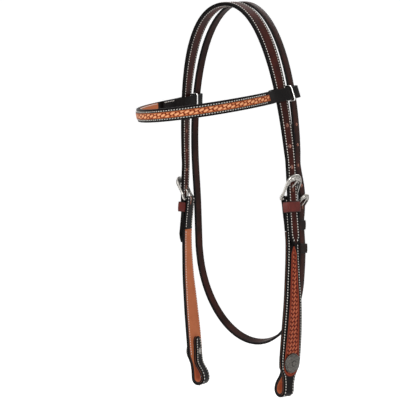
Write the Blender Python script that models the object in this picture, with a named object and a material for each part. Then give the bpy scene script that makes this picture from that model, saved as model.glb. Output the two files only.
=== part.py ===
"""Western headstall with a tooled browband, a throatlatch and two bit loops.

Metres. +Z is up, -Y is the horse's nose, +X is its near side. The origin is the
underside of the crown piece at the poll. The off side mirrors the near side.
"""

import math

import bmesh
import bpy
from mathutils import Vector

# Leather: one layer of each kind, and the air left between two pieces
dark_layer = 0.0023
tan_layer = 0.0022
overlay_layer = 0.0009
keeper_layer = 0.0012
seat_gap = 0.0003
edge_bevel = 0.0005

# Crown piece, from the poll down both cheeks
poll_width = 0.022
crown_billet_width = 0.016
billet_skive = 0.0006
surface_lean = math.radians(9.5)
crown_leg_span = 0.0872
crown_leg_drop = 0.2026
crown_leg_rear = 0.0214
crown_shoulder = 0.0606
crown_leg_rise = 0.1116
crown_leg_flare = 0.0062
crown_leg_sweep = 0.0118
crown_width_shares = ((0, 1.0), (0.45, 1.0), (0.72, 0.86), (1.0, 0.745))

# Cheek pieces, measured down from the heel bar of the cheek buckle
bar_outside_leg = 0.0001
bar_span = crown_leg_span + bar_outside_leg
bar_rear = 0.0235
leg_to_bar = 0.0485
bar_drop = crown_leg_drop + leg_to_bar
cheek_toe_in = math.radians(10.5)
cheek_top_width = 0.0188
cheek_wide_width = 0.0335
cheek_taper_start = 0.040
cheek_taper_length = 0.155
cheek_inset = 0.0118
cheek_rearward = 0.006
top_forward = 0.0015
top_settle = 0.050
bit_neck_width = 0.017
bit_neck_length = 0.022
bit_hole_radius = 0.00475
tail_tip_width = 0.0125
tail_taper_length = 0.035
chape_end_drop = 0.0405
chape_close = 0.012
concho_drop = 0.2085
concho_to_loop = 0.036
concho_to_tail_end = 0.020
concho_to_tail_join = 0.010
cheek_drop = concho_drop + concho_to_loop
tail_end_drop = concho_drop - concho_to_tail_end
tail_join_drop = concho_drop + concho_to_tail_join
overlay_top_drop = 0.0595
overlay_point = 0.010
overlay_border = 0.0038
overlay_top_width = 0.009
overlay_foot = 0.018
cheek_inset_shares = ((0.0, -0.34), (0.08, -0.2), (0.2, -0.015), (0.29, 0.0), (0.45, -0.1),
                      (0.61, -0.33), (0.78, -0.66), (0.86, -0.81), (1.0, -1.0))
cheek_rearward_shares = ((0.0, 0.0), (0.16, 0.06), (0.30, 0.24), (0.43, 0.46), (0.52, 0.72),
                         (0.61, 0.88), (0.75, 1.0), (1.0, 0.92))
tail_bend_share = 0.42

# Cheek buckle
bar_radius = 0.0015
buckle_inner_half = 0.0100
buckle_wing_half = 0.0148
buckle_height = 0.034
buckle_tilt = math.radians(26)
frame_back = 0.0015
toe_crest = 0.004
tongue_radius = 0.001
tongue_play = 0.0006
tongue_wrap_start = math.radians(130)
tongue_wrap = math.radians(250)
tongue_tip_share = 0.08
tongue_rest_shares = (0.5, 0.9)
hole_pitch = 0.0262
hole_radius = 0.0019
holes_above = 3
tongue_hole_up = 0.0140

# Buckle frame outline: inner width, inner height, outer width, outer height and swell
frame_shares = ((1.0, -0.055, 0.88, -0.055, 0.40), (1.0, 0.03, 1.0, 0.06, 0.45),
                (1.0, 0.20, 0.87, 0.24, 0.50), (1.0, 0.38, 0.83, 0.50, 0.55),
                (0.96, 0.56, 0.79, 0.72, 0.75), (0.78, 0.67, 0.62, 0.88, 0.92),
                (0.42, 0.71, 0.33, 0.98, 1.0), (0.0, 0.72, 0.0, 1.0, 1.0))
crest_shares = ((0.0, 0.2), (0.2, 0.75), (0.45, 1.0), (0.75, 0.8), (1.0, 0.2))

# Crown billet where it lies on the cheek piece, and its keeper
billet_start_forward = 0.0018
billet_bar_out = 0.0027
billet_tip_out = 0.007
billet_tip_drop = 0.0595
billet_point = 0.010
point_width = 0.003
keeper_top_drop = 0.004
keeper_length = 0.0135
keeper_play = 0.0009

# Concho, its threaded post and its screw
concho_radius = 0.0127
concho_rim = 0.0012
concho_dome = 0.0034
dome_shares = (0, 0.2, 0.4, 0.6, 0.8)
post_radius = 0.0022
post_bore = 0.0015
screw_shank = 0.0012
screw_head_radius = 0.0042
screw_head = 0.0013
slot_width = 0.0010
slot_depth = 0.0006

# Throatlatch, one strap from the near billet over the poll and under the throat
throat_width = 0.013
throat_layer = 0.003
throat_inside_crown = 0.0023
throat_leg_span = crown_leg_span - throat_inside_crown
throat_below_crown = 0.005
throat_leg_drop = crown_leg_drop + throat_below_crown
throat_poll_rise = 0.0079
throat_poll_rear = 0.0288
throat_leg_rear = 0.0396
throat_shoulder = 0.0563
throat_leg_rise = 0.1157
throat_leg_flare = 0.0039
throat_leg_sweep = 0.0057
throat_poll_sweep = 0.0017
loop_inside_crown = 0.0017
loop_half_span = crown_leg_span - loop_inside_crown
off_leg_rear = 0.0442
loop_side_rear = 0.0494
loop_bottom_rear = 0.067
loop_lean = math.radians(22)
quarter_round_share = 0.5523

# Throatlatch buckle, billet and keepers, measured from its heel bar
throat_bar_inside = 0.0067
throat_bar_span = crown_leg_span - throat_bar_inside
throat_bar_rear = 0.0468
throat_bar_drop = 0.2676
bar_to_side = 0.060
side_to_bottom = 0.1158
loop_side_drop = throat_bar_drop + bar_to_side
loop_bottom_drop = loop_side_drop + side_to_bottom
throat_bar_radius = 0.0012
throat_chape_layer = 0.0022
throat_inner_half = 0.0073
throat_wing_half = 0.0105
throat_buckle_height = 0.027
throat_buckle_tilt = math.radians(33)
throat_frame_back = 0.0012
throat_toe_crest = 0.0028
throat_tongue_radius = 0.0009
throat_tongue_up = 0.0075
throat_chape_end = 0.030
throat_billet_bar_out = 0.0059
throat_tip_drop = 0.0915
throat_tip_out = 0.0046
throat_leg_out = 0.0028
throat_drift = 0.0010
throat_hole_pitch = 0.026
throat_hole_radius = 0.0015
throat_holes_above = 4
fixed_keeper_drop = 0.011
fixed_keeper_shift_share = 0.75
throat_keeper_length = 0.012
sliding_keeper_drop = 0.041
sliding_keeper_play = 0.0007

# Browband: a tilted half oval whose ends loop round the crown piece and the throatlatch.
# The front of a loop is measured from the crown piece and its rear from the throatlatch.
band_height = 0.0158
band_drop = 0.1179
band_tilt = math.radians(12)
band_pivot_rear = 0.0213
band_front = 0.1395
side_outside = 0.00833
start_outside = 0.00433
start_ahead = 0.02149
front_inside = 0.00667
front_ahead = 0.01199
rear_outside = 0.00627
rear_inside = 0.00493
rear_behind = 0.00549
bend_behind = 0.00979
band_fold_end = -0.036
band_stop_end = -0.010
band_leg_lean = 0.2
band_lean_end = -0.090
ring_wire = 0.0009
ring_slant = 0.0004

# Roundness of the meshes
path_step = 0.010
fine_step = 0.003
small_round = 12
large_round = 40

up = Vector((0, 0, 1))
rearward = Vector((0, 1, 0))


def clear_scene():
    for thing in list(bpy.data.objects):
        bpy.data.objects.remove(thing, do_unlink=True)


def make_material(name, colour, roughness, metallic):
    material = bpy.data.materials.new(name)
    material.use_nodes = True
    shader = material.node_tree.nodes["Principled BSDF"]
    shader.inputs["Base Color"].default_value = (*colour, 1)
    shader.inputs["Roughness"].default_value = roughness
    shader.inputs["Metallic"].default_value = metallic
    return material


def mirrored(point):
    return Vector((-point.x, point.y, point.z))


def make_object(name, mesh, material, origin, side):
    """Puts the mesh in the scene with its object origin here. Side -1 makes the off side's copy."""
    for corner in mesh.verts:
        corner.co -= origin
    place = origin
    if side < 0:
        for corner in mesh.verts:
            corner.co = mirrored(corner.co)
        place = mirrored(origin)
    mesh.normal_update()
    bmesh.ops.recalc_face_normals(mesh, faces=mesh.faces)
    data = bpy.data.meshes.new(name)
    mesh.to_mesh(data)
    mesh.free()
    data.materials.append(material)
    made = bpy.data.objects.new(name, data)
    made.location = place
    bpy.context.scene.collection.objects.link(made)
    return made


def use_boolean(target, tool, operation, solver="EXACT"):
    """Cuts the tool from the target or joins it on, and leaves the tool out of the render."""
    tool.hide_render = True
    tool.display_type = "WIRE"
    modifier = target.modifiers.new(tool.name, "BOOLEAN")
    modifier.object = tool
    modifier.operation = operation
    modifier.solver = solver


def bezier(points, share):
    """A point on the cubic curve with these four control points."""
    rest = 1 - share
    return (points[0] * rest**3 + points[1] * (3 * share * rest**2)
            + points[2] * (3 * share**2 * rest) + points[3] * share**3)


def smooth_path(stops, step=path_step):
    """Even points on a rounded curve through the stops."""
    slopes = []
    last = len(stops) - 1
    for i in range(last + 1):
        before = stops[max(i - 1, 0)]
        after = stops[min(i + 1, last)]
        slopes.append((after - before).normalized())
    points = []
    for i in range(last):
        span = (stops[i + 1] - stops[i]).length
        count = max(1, round(span / step))
        handles = (stops[i], stops[i] + slopes[i] * (span / 3),
                   stops[i + 1] - slopes[i + 1] * (span / 3), stops[i + 1])
        points += [bezier(handles, k / count) for k in range(count)]
    return points + [stops[last]]


def read_shares(table, place):
    """A value read on an eased curve through the (place, value) pairs of the table."""
    last = len(table) - 1
    i = 0
    while i < last - 1 and place > table[i + 1][0]:
        i += 1
    (low, first), (high, second) = table[i], table[i + 1]
    before = table[max(i - 1, 0)]
    after = table[min(i + 2, last)]
    span = high - low
    start = (second - before[1]) / (high - before[0]) * span
    end = (after[1] - first) / (after[0] - low) * span
    t = min(1, max(0, (place - low) / span))
    return ((2 * t**3 - 3 * t**2 + 1) * first + (t**3 - 2 * t**2 + t) * start
            + (3 * t**2 - 2 * t**3) * second + (t**3 - t**2) * end)


def between(table, place):
    """A value read on straight lines through the (place, value) pairs of the table."""
    for (low, first), (high, second) in zip(table, table[1:]):
        if place <= high:
            return first + (second - first) * max(0, (place - low) / (high - low))
    return table[-1][1]


def steps(first, last, step=path_step):
    count = max(1, round(abs(last - first) / step))
    return [first + (last - first) * k / count for k in range(count + 1)]


class Section:
    """One section of a strap: a place on its line, the way across, the width and its two faces.

    Along is the strap's direction there. Left out, it follows from the places next to it.
    """

    def __init__(self, place, across, width, low, high, along=None):
        self.place = place
        self.along = along
        self.across = across
        self.width = width
        self.low = low
        self.high = high


def directions(sections, closed):
    """The unit vectors across the strap and out of it at each section."""
    found = []
    last = len(sections) - 1
    for i, section in enumerate(sections):
        before = sections[i - 1] if closed or i else section
        after = sections[(i + 1) % (last + 1)] if closed or i < last else section
        along = section.along or (after.place - before.place).normalized()
        across = (section.across - along * section.across.dot(along)).normalized()
        found.append((across, along.cross(across)))
    return found


def skin(rings, closed):
    """A closed mesh through rings of as many points each."""
    mesh = bmesh.new()
    loops = [[mesh.verts.new(point) for point in ring] for ring in rings]
    pairs = list(zip(loops, loops[1:]))
    if closed:
        pairs.append((loops[-1], loops[0]))
    else:
        mesh.faces.new(loops[0])
        mesh.faces.new(loops[-1])
    for loop, following in pairs:
        for k in range(len(loop)):
            m = (k + 1) % len(loop)
            mesh.faces.new((loop[k], loop[m], following[m], following[k]))
    return mesh


def strap(name, sections, material, origin=Vector(), side=1, closed=False):
    """A strap with eased edges, swept through the sections."""
    rings = []
    for section, (across, out) in zip(sections, directions(sections, closed)):
        low, high = section.low, section.high
        half = section.width / 2
        bevel = min(edge_bevel, (high - low) / 4, half / 2)
        corners = ((-half, low + bevel), (bevel - half, low), (half - bevel, low), (half, low + bevel),
                   (half, high - bevel), (half - bevel, high), (bevel - half, high), (-half, high - bevel))
        rings.append([section.place + across * a + out * b for a, b in corners])
    return make_object(name, skin(rings, closed), material, origin, side)


def rod(name, points, radius, across, material, origin=Vector(), side=1, closed=False):
    """A round wire through the points."""
    sections = [Section(point, across, 0, 0, 0) for point in points]
    rings = []
    for section, (across_it, out) in zip(sections, directions(sections, closed)):
        turns = [math.tau * (k + 0.5) / small_round for k in range(small_round)]
        rings.append([section.place + across_it * (radius * math.cos(turn))
                      + out * (radius * math.sin(turn)) for turn in turns])
    return make_object(name, skin(rings, closed), material, origin, side)


def turned(name, profile, start, axis, sides, material, origin=Vector(), side=1):
    """A solid of revolution through (height, radius) pairs, with flat ends."""
    across = axis.orthogonal().normalized()
    other = axis.cross(across)
    rings = []
    for height, radius in profile:
        turns = [math.tau * (k + 0.5) / sides for k in range(sides)]
        rings.append([start + axis * height + across * (radius * math.cos(turn))
                      + other * (radius * math.sin(turn)) for turn in turns])
    return make_object(name, skin(rings, False), material, origin, side)


def block(name, centre, axes, sizes, material, side=1):
    """A box along three given directions."""
    mesh = bmesh.new()
    bmesh.ops.create_cube(mesh, size=1)
    for corner in mesh.verts:
        shares = corner.co.copy()
        corner.co = centre.copy()
        for axis, size, share in zip(axes, sizes, shares):
            corner.co += axis * (size * share)
    return make_object(name, mesh, material, Vector(), side)


def closed_band(centre, out, across, down, inside, width, length):
    """A keeper: a flat band round a strap. Inside holds the two faces of its hole."""
    corner = keeper_layer
    low = inside[0] - keeper_layer / 2 + corner
    high = inside[1] + keeper_layer / 2 - corner
    half = width / 2 + keeper_layer / 2 - corner
    sections = []
    for quarter, (a, b) in enumerate(((half, high), (-half, high), (-half, low), (half, low))):
        for k in range(4):
            turn = math.pi / 2 * (quarter + k / 3)
            place = (centre + across * (a + corner * math.cos(turn))
                     + out * (b + corner * math.sin(turn)))
            sections.append(Section(place, down, length, -keeper_layer / 2, keeper_layer / 2))
    return sections


class Bar:
    """The heel bar of a buckle on the near side, and the directions of the strap it carries."""

    def __init__(self, span, rear, drop, toe_in, out=0.0, forward=0.0):
        self.out = Vector((math.cos(toe_in), -math.sin(toe_in), 0))
        self.across = Vector((math.sin(toe_in), math.cos(toe_in), 0))
        self.base = Vector((span, rear, -drop))
        self.place = self.base + self.out * out - self.across * forward
        self.forward = forward

    def point(self, out, height, across=0.0):
        """A point this far outside the strap line, above the bar and to the rear."""
        return self.base + self.out * out + self.across * across + up * height


def cheek_line(drop):
    """How far outside the upright through the bar the middle of the cheek piece lies."""
    return cheek_inset * read_shares(cheek_inset_shares, drop / cheek_drop)


cheek_bar = Bar(bar_span, bar_rear, bar_drop, cheek_toe_in, cheek_line(0), top_forward)
throat_bar = Bar(throat_bar_span, throat_bar_rear, throat_bar_drop, 0)


def cheek_width(drop):
    """Narrow at the buckle, widest round the concho and necked in for the bit loop."""
    neck_start = concho_drop + concho_rim
    if drop <= neck_start:
        share = min(1, max(0, (drop - cheek_taper_start) / cheek_taper_length))
        eased = (1 - math.cos(math.pi * share)) / 2
        return cheek_top_width + (cheek_wide_width - cheek_top_width) * eased
    share = min(1, (drop - neck_start) / bit_neck_length)
    eased = (1 - math.cos(math.pi * share)) / 2
    return cheek_wide_width + (bit_neck_width - cheek_wide_width) * eased


def on_cheek(drop, out=0.0):
    """A point on the middle line of the cheek piece, or this far outside it."""
    settled = cheek_rearward * read_shares(cheek_rearward_shares, drop / cheek_drop)
    forward = top_forward * max(0, 1 - drop / top_settle)
    return cheek_bar.point(cheek_line(drop) + out, -drop, settled - forward)


def cheek_axes(drop):
    """Down the cheek piece, across it to the rear, and out of it."""
    down = (on_cheek(drop + seat_gap) - on_cheek(drop - seat_gap)).normalized()
    across = (cheek_bar.across - down * cheek_bar.across.dot(down)).normalized()
    return down, across, down.cross(across)


def chape_spread(drop):
    """Half the room between the two plies of the chape, for the bar and for the keeper's wall."""
    wrap = bar_radius + seat_gap / 2
    wall = (keeper_layer + seat_gap) / 2
    foot = keeper_top_drop + keeper_length
    return between(((0, wrap), (keeper_top_drop, (wrap + wall) / 2), (foot, wall),
                    (foot + chape_close, 0), (cheek_drop, 0)), drop)


def cheek_front_line():
    """The inner face of the dark layer down the front, as (place, width) pairs."""
    return [(on_cheek(drop, chape_spread(drop)), cheek_width(drop))
            for drop in steps(fine_step, keeper_top_drop + keeper_length, fine_step)
            + steps(keeper_top_drop + keeper_length, cheek_drop)[1:]]


def tail_width(left):
    """The width of the tail this far from its round tip."""
    share = min(1, left / tail_taper_length)
    full = tail_tip_width + (bit_neck_width - tail_tip_width) * share
    if left < full / 2:
        full = max(point_width, full * math.sqrt(1 - (1 - 2 * left / full) ** 2))
    return full


def bit_loop_line():
    """The same face round the bit loop and up the tail, from the foot of the front."""
    down, _, out = cheek_axes(cheek_drop - seat_gap)
    turn = bit_hole_radius + tan_layer + seat_gap / 2
    centre = on_cheek(cheek_drop) - out * turn
    segments = small_round - 1
    line = []
    for k in range(1, segments + 1):
        angle = math.pi * k / segments
        line.append(centre + out * (turn * math.cos(angle)) + down * (turn * math.sin(angle)))
    apart = 2 * tan_layer + 2 * seat_gap
    join_down, _, join_out = cheek_axes(tail_join_drop)
    foot = line[-1]
    head = on_cheek(tail_join_drop) - join_out * apart
    reach = (head - foot).length * tail_bend_share
    handles = (foot, foot - down * reach, head + join_down * reach, head)
    line += [bezier(handles, k / small_round) for k in range(1, small_round)]
    round_start = tail_end_drop + tail_tip_width / 2
    drops = steps(tail_join_drop, round_start) + steps(round_start, tail_end_drop, fine_step / 2)[1:]
    widths = [bit_neck_width] * len(line) + [tail_width(drop - tail_end_drop) for drop in drops]
    line += [on_cheek(drop) - cheek_axes(drop)[2] * apart for drop in drops]
    return list(zip(line, widths))


def chape_line():
    """The same face up the folded end of the chape and over the heel bar."""
    wrap = chape_spread(0)
    line = [(on_cheek(drop, -chape_spread(drop)), cheek_width(drop))
            for drop in steps(chape_end_drop, fine_step, 2 * fine_step)]
    for k in range(small_round // 2 + 1):
        turn = math.pi * (1 - 2 * k / small_round)
        line.append((on_cheek(0, wrap * math.cos(turn)) + up * (wrap * math.sin(turn)), cheek_width(0)))
    return line


def cheek_sections(line, low, high):
    return [Section(place, cheek_bar.across, width, low, high) for place, width in line]


def make_post_hole(name, material, side):
    """A cutter for the concho's post, through every layer of the cheek piece."""
    out = cheek_axes(concho_drop)[2]
    reach = cheek_wide_width
    return turned(name, ((-reach, post_radius + seat_gap), (reach, post_radius + seat_gap)),
                  on_cheek(concho_drop), out, small_round, material, side=side)


def make_cheek_strap(word, side, material):
    line = chape_line() + cheek_front_line() + bit_loop_line()
    sections = cheek_sections(line, seat_gap / 2, seat_gap / 2 + dark_layer)
    made = strap(word + "_cheek_strap", sections, material, cheek_bar.place, side)
    reach = 4 * (bar_radius + dark_layer)
    slot = block(word + "_tongue_slot", cheek_bar.place, (cheek_bar.out, cheek_bar.across, up),
                 (reach, 2 * (tongue_radius + tongue_play), reach), material, side)
    use_boolean(made, slot, "DIFFERENCE")
    use_boolean(made, make_post_hole(word + "_strap_post_hole", material, side), "DIFFERENCE")


def make_cheek_lining(word, side, material):
    start = chape_end_drop + 2 * seat_gap
    line = [(on_cheek(start), cheek_width(start))]
    line += [(on_cheek(drop), cheek_width(drop)) for drop in steps(start, cheek_drop)[1:]]
    sections = cheek_sections(line + bit_loop_line(), -seat_gap / 2 - tan_layer, -seat_gap / 2)
    made = strap(word + "_cheek_lining", sections, material, cheek_bar.place, side)
    use_boolean(made, make_post_hole(word + "_lining_post_hole", material, side), "DIFFERENCE")


def overlay_width(drop):
    """The width of the tooled panel: tapered, with a pointed top and a round foot."""
    widest = cheek_width(concho_drop) - 2 * overlay_border
    share = min(1, (drop - overlay_top_drop) / (concho_drop - overlay_top_drop))
    full = overlay_top_width + (widest - overlay_top_width) * share
    foot = concho_drop + overlay_foot
    if drop < overlay_top_drop + overlay_point:
        share = (drop - overlay_top_drop) / overlay_point
        full = point_width + (full - point_width) * share
    if drop > foot - full / 2:
        share = (drop - foot + full / 2) / (full / 2)
        full = max(point_width, full * math.sqrt(max(0, 1 - share**2)))
    return full


def make_cheek_overlay(word, side, material):
    low = seat_gap * 3 / 2 + dark_layer
    sections = [Section(on_cheek(drop), cheek_bar.across, overlay_width(drop), low, low + overlay_layer)
                for drop in steps(overlay_top_drop, overlay_top_drop + overlay_point)
                + steps(overlay_top_drop + overlay_point, concho_drop)[1:]
                + steps(concho_drop, concho_drop + overlay_foot, fine_step / 2)[1:]]
    made = strap(word + "_cheek_overlay", sections, material, cheek_bar.place, side)
    use_boolean(made, make_post_hole(word + "_overlay_post_hole", material, side), "DIFFERENCE")


def billet_plies():
    """The outer and inner thickness of the crown piece's skived billets."""
    return dark_layer - billet_skive, tan_layer - billet_skive


def billet_foot_out():
    """Where the billet's middle lies as it leaves the keeper, seated on the cheek piece."""
    foot = keeper_top_drop + keeper_length
    face = cheek_line(foot) + chape_spread(foot) + seat_gap / 2 + dark_layer
    return face + seat_gap + billet_plies()[1] + seat_gap / 2


def make_cheek_keeper(word, side, material):
    drop = keeper_top_drop + keeper_length / 2
    down, across, out = cheek_axes(drop)
    billet_face = (billet_bar_out + billet_foot_out()) / 2 + seat_gap / 2 + billet_plies()[0]
    inside = (keeper_layer / 2, billet_face - cheek_line(drop) + keeper_play)
    width = cheek_width(drop) + 2 * seat_gap
    sections = closed_band(on_cheek(drop), out, across, down, inside, width, keeper_length)
    strap(word + "_cheek_keeper", sections, material, cheek_bar.place, side, closed=True)


def buckle_axes(bar, tilt):
    """Up along a buckle's face, and out of it."""
    return (up * math.cos(tilt) + bar.out * math.sin(tilt),
            bar.out * math.cos(tilt) - up * math.sin(tilt))


def make_frame(name, bar, tilt, sizes, material, side):
    """A buckle frame: two rails and a domed toe, joined to a round heel bar."""
    inner_half, wing_half, height, back, crest, radius = sizes
    rise, face = buckle_axes(bar, tilt)
    rings = []
    halves = [(1, row) for row in frame_shares] + [(-1, row) for row in frame_shares[-2::-1]]
    for sign, (inner_wide, inner_high, outer_wide, outer_high, swell) in halves:
        inner = bar.place + bar.across * (sign * inner_wide * inner_half) + rise * (inner_high * height)
        outer = bar.place + bar.across * (sign * outer_wide * wing_half) + rise * (outer_high * height)
        ring = [inner - face * back, outer - face * back]
        ring += [inner + (outer - inner) * share + face * (crest * swell * part)
                 for share, part in reversed(crest_shares)]
        rings.append(ring)
    made = make_object(name, skin(rings, False), material, bar.place, side)
    reach = (inner_half + wing_half) / 2
    heel = rod(name + "_bar", (bar.place - bar.across * reach, bar.place + bar.across * reach),
               radius, bar.out, material, side=side)
    use_boolean(made, heel, "UNION")


def tongue_points(bar, tilt, sizes, thick, billet, hole_up):
    """A tongue's line: round the bar, up inside the billet, out through its hole and on to the toe."""
    height, _, crest, radius = sizes[2:]
    billet_in, billet_out = billet
    rise, face = buckle_axes(bar, tilt)
    turn = radius + seat_gap + thick
    line = []
    for k in range(small_round):
        angle = tongue_wrap_start + tongue_wrap * k / (small_round - 1)
        line.append(bar.place + bar.out * (turn * math.cos(angle)) + up * (turn * math.sin(angle)))
    inside = billet_in - thick - 2 * seat_gap
    outside = billet_out + thick + 2 * seat_gap
    lean = (outside - inside) / 2
    middle = (inside + outside) / 2
    for out, rung in ((inside, hole_up - 2 * lean), (inside, hole_up - lean), (middle, hole_up),
                      (outside, hole_up + lean)):
        line.append(bar.point(out, rung, -bar.forward))
    toe = frame_shares[-1][1] * height
    rest = thick + seat_gap
    for past, share in zip((0, tongue_tip_share * height), tongue_rest_shares):
        line.append(bar.place + rise * (toe + past) + face * (crest * share + rest))
    return line


def make_tongue(name, bar, tilt, sizes, thick, billet, hole_up, material, side):
    line = tongue_points(bar, tilt, sizes, thick, billet, hole_up)
    wrap = line[:small_round]
    shank = smooth_path(line[small_round - 1:], fine_step)
    rod(name, wrap + shank[1:], thick, bar.across, material, bar.place, side)


def concho_profile():
    """The concho's domed front from its rim to its middle, as (height, radius) pairs."""
    return [(concho_rim + concho_dome * math.sin(math.pi / 2 * share),
             concho_radius * math.cos(math.pi / 2 * share)) for share in dome_shares]


def stack_back():
    """How far inside the cheek piece's middle line the back of its tail lies."""
    return 2 * tan_layer + dark_layer + 5 * seat_gap / 2


def make_concho(word, side, material):
    """A domed disc with a bored post that reaches through the cheek piece and its tail."""
    out = cheek_axes(concho_drop)[2]
    centre = on_cheek(concho_drop)
    seat = seat_gap * 5 / 2 + dark_layer + overlay_layer
    depth = stack_back() - seat_gap
    front = [(seat + height, radius) for height, radius in concho_profile()]
    profile = [(-depth, post_radius), (seat, post_radius), (seat, concho_radius)] + front
    made = turned(word + "_concho", profile, centre, out, large_round, material, cheek_bar.place, side)
    bore = turned(word + "_concho_bore", ((-2 * depth, post_bore), (seat, post_bore)), centre, out,
                  small_round, material, side=side)
    use_boolean(made, bore, "DIFFERENCE")


def make_concho_screw(word, side, material):
    """A slotted screw whose shank runs up the concho's post from the inside."""
    out = cheek_axes(concho_drop)[2]
    centre = on_cheek(concho_drop)
    seat = stack_back() + seat_gap
    reach = seat_gap * 3 / 2 + dark_layer
    profile = ((-seat - screw_head, screw_head_radius - edge_bevel),
               (-seat - screw_head + edge_bevel, screw_head_radius), (-seat, screw_head_radius),
               (-seat, screw_shank), (reach, screw_shank))
    place = centre - out * (seat + screw_head)
    made = turned(word + "_concho_screw", profile, centre, out, 2 * small_round, material, place, side)
    across = cheek_axes(concho_drop)[1]
    slot = block(word + "_screw_slot", place, (out, across, out.cross(across)),
                 (2 * slot_depth, 4 * screw_head_radius, slot_width), material, side)
    use_boolean(made, slot, "DIFFERENCE")


def crown_arch():
    """Control points of the near half of the crown piece, from the poll to the top of the billet."""
    leg = Vector((crown_leg_span, crown_leg_rear, -crown_leg_drop))
    ply_top = tan_layer / math.cos(surface_lean)
    return (Vector((0, 0, ply_top)), Vector((crown_shoulder, 0, ply_top)),
            leg + Vector((-crown_leg_flare, -crown_leg_sweep, crown_leg_rise)), leg)


def arch_across(tangent):
    """The way across a strap that lies on the horse's head, for this direction along it."""
    out = Vector((-tangent.z, 0, tangent.x)).normalized()
    return rearward * math.cos(surface_lean) + out * math.sin(surface_lean)


def crown_half():
    """Sections of the near half of the crown piece from the poll down to the billet's tip."""
    arch = crown_arch()
    sections = []
    shares = steps(0, 1, path_step / (crown_leg_drop + crown_leg_span))
    for share in shares[:-1]:
        place = bezier(arch, share)
        ahead = bezier(arch, share + shares[1] / 2)
        across = arch_across((ahead - place).normalized())
        width = poll_width * read_shares(crown_width_shares, share)
        skive = billet_skive * max(0, 2 * share - 1)
        sections.append((place, across, width, skive))
    start = arch[-1]
    foot = keeper_top_drop + keeper_length
    stops = [bezier(arch, shares[-2]), start,
             cheek_bar.point(billet_bar_out, 0, -billet_start_forward / 2),
             cheek_bar.point(billet_foot_out(), -foot),
             cheek_bar.point(billet_tip_out, -billet_tip_drop)]
    path = smooth_path(stops, 2 * fine_step)
    first = next(i for i, place in enumerate(path) if place.z < start.z + seat_gap)
    tip = path[-1]
    billet = path[first:]
    for place in billet:
        left = (tip - place).length
        width = crown_billet_width
        if left < billet_point:
            width = point_width + (width - point_width) * left / billet_point
        share = min(1, (start.z - place.z) / (start.z - cheek_bar.place.z))
        across = arch_across(-up) * (1 - share) + cheek_bar.across * share
        sections.append((place, across, width, billet_skive))
    return sections


def crown_ply(name, low, high, material):
    """One ply of the crown piece from the off tip to the near tip. Its faces may thin to the skive."""
    near = crown_half()
    off = [(mirrored(place), mirrored(across), width, skive)
           for place, across, width, skive in near[:0:-1]]
    sections = []
    for place, across, width, skive in off + near:
        thin_low = low + skive if low < -seat_gap else low
        thin_high = high - skive if high > seat_gap else high
        sections.append(Section(place, across, width, thin_low, thin_high))
    return strap(name, sections, material)


def billet_holes(word, material, side):
    """Cutters for the holes of a billet, from the tongue's up towards the poll."""
    near = crown_half()
    cutters = []
    for k in range(holes_above + 1):
        height = tongue_hole_up + k * hole_pitch - bar_drop
        i = min(range(len(near)), key=lambda n: abs(near[n][0].z - height))
        place, across = near[i][0], near[i][1]
        along = (near[i + 1][0] - near[i - 1][0]).normalized()
        out = along.cross(across).normalized()
        place = place + along * ((place.z - height) / -along.z)
        reach = 4 * dark_layer
        name = word + "_billet_hole_" + str(k + 1)
        if k:
            cutters.append(turned(name, ((-reach, hole_radius), (reach, hole_radius)), place, out,
                                  small_round, material, side=side))
        else:
            long = 2 * (billet_window() + 2 * tongue_radius + seat_gap)
            cutters.append(block(name, place, (out, across, along),
                                 (2 * reach, 2 * (tongue_radius + tongue_play), long), material, side))
    return cutters


def billet_window():
    """Half the length of billet that the slanting tongue crosses."""
    outer, inner = billet_plies()
    return (outer + inner + 3 * seat_gap) / 2 + tongue_play


def frame_sizes():
    return (buckle_inner_half, buckle_wing_half, buckle_height, frame_back, toe_crest, bar_radius)


def throat_frame_sizes():
    return (throat_inner_half, throat_wing_half, throat_buckle_height, throat_frame_back,
            throat_toe_crest, throat_bar_radius)


def billet_faces_at(height):
    """How far out the inner and outer faces of the crown billet lie at this height over the bar."""
    outer, inner = billet_plies()
    places = [entry[0] for entry in crown_half()]
    nearest = min(places, key=lambda place: abs(place.z - cheek_bar.place.z - height))
    middle = (nearest - cheek_bar.base).dot(cheek_bar.out)
    return middle - seat_gap / 2 - inner, middle + seat_gap / 2 + outer


def make_cheek_side(word, side, leather, tan, russet, red, silver):
    sizes = frame_sizes()
    make_cheek_strap(word, side, leather)
    make_cheek_lining(word, side, tan)
    make_cheek_overlay(word, side, russet)
    make_cheek_keeper(word, side, red)
    make_concho(word, side, silver)
    make_concho_screw(word, side, silver)
    make_frame(word + "_cheek_buckle_frame", cheek_bar, buckle_tilt, sizes, silver, side)
    make_tongue(word + "_cheek_buckle_tongue", cheek_bar, buckle_tilt, sizes, tongue_radius,
                billet_faces_at(tongue_hole_up), tongue_hole_up, silver, side)


def throat_near_leg():
    """The main ply of the throatlatch below its bar, as (drop, distance out) pairs."""
    wrap = throat_bar_radius + seat_gap + throat_chape_layer / 2
    flat = (seat_gap + throat_layer) / 2
    return ((0, wrap), (fixed_keeper_drop - seat_gap, flat),
            (loop_side_drop - throat_bar_drop, throat_leg_out))


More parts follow.
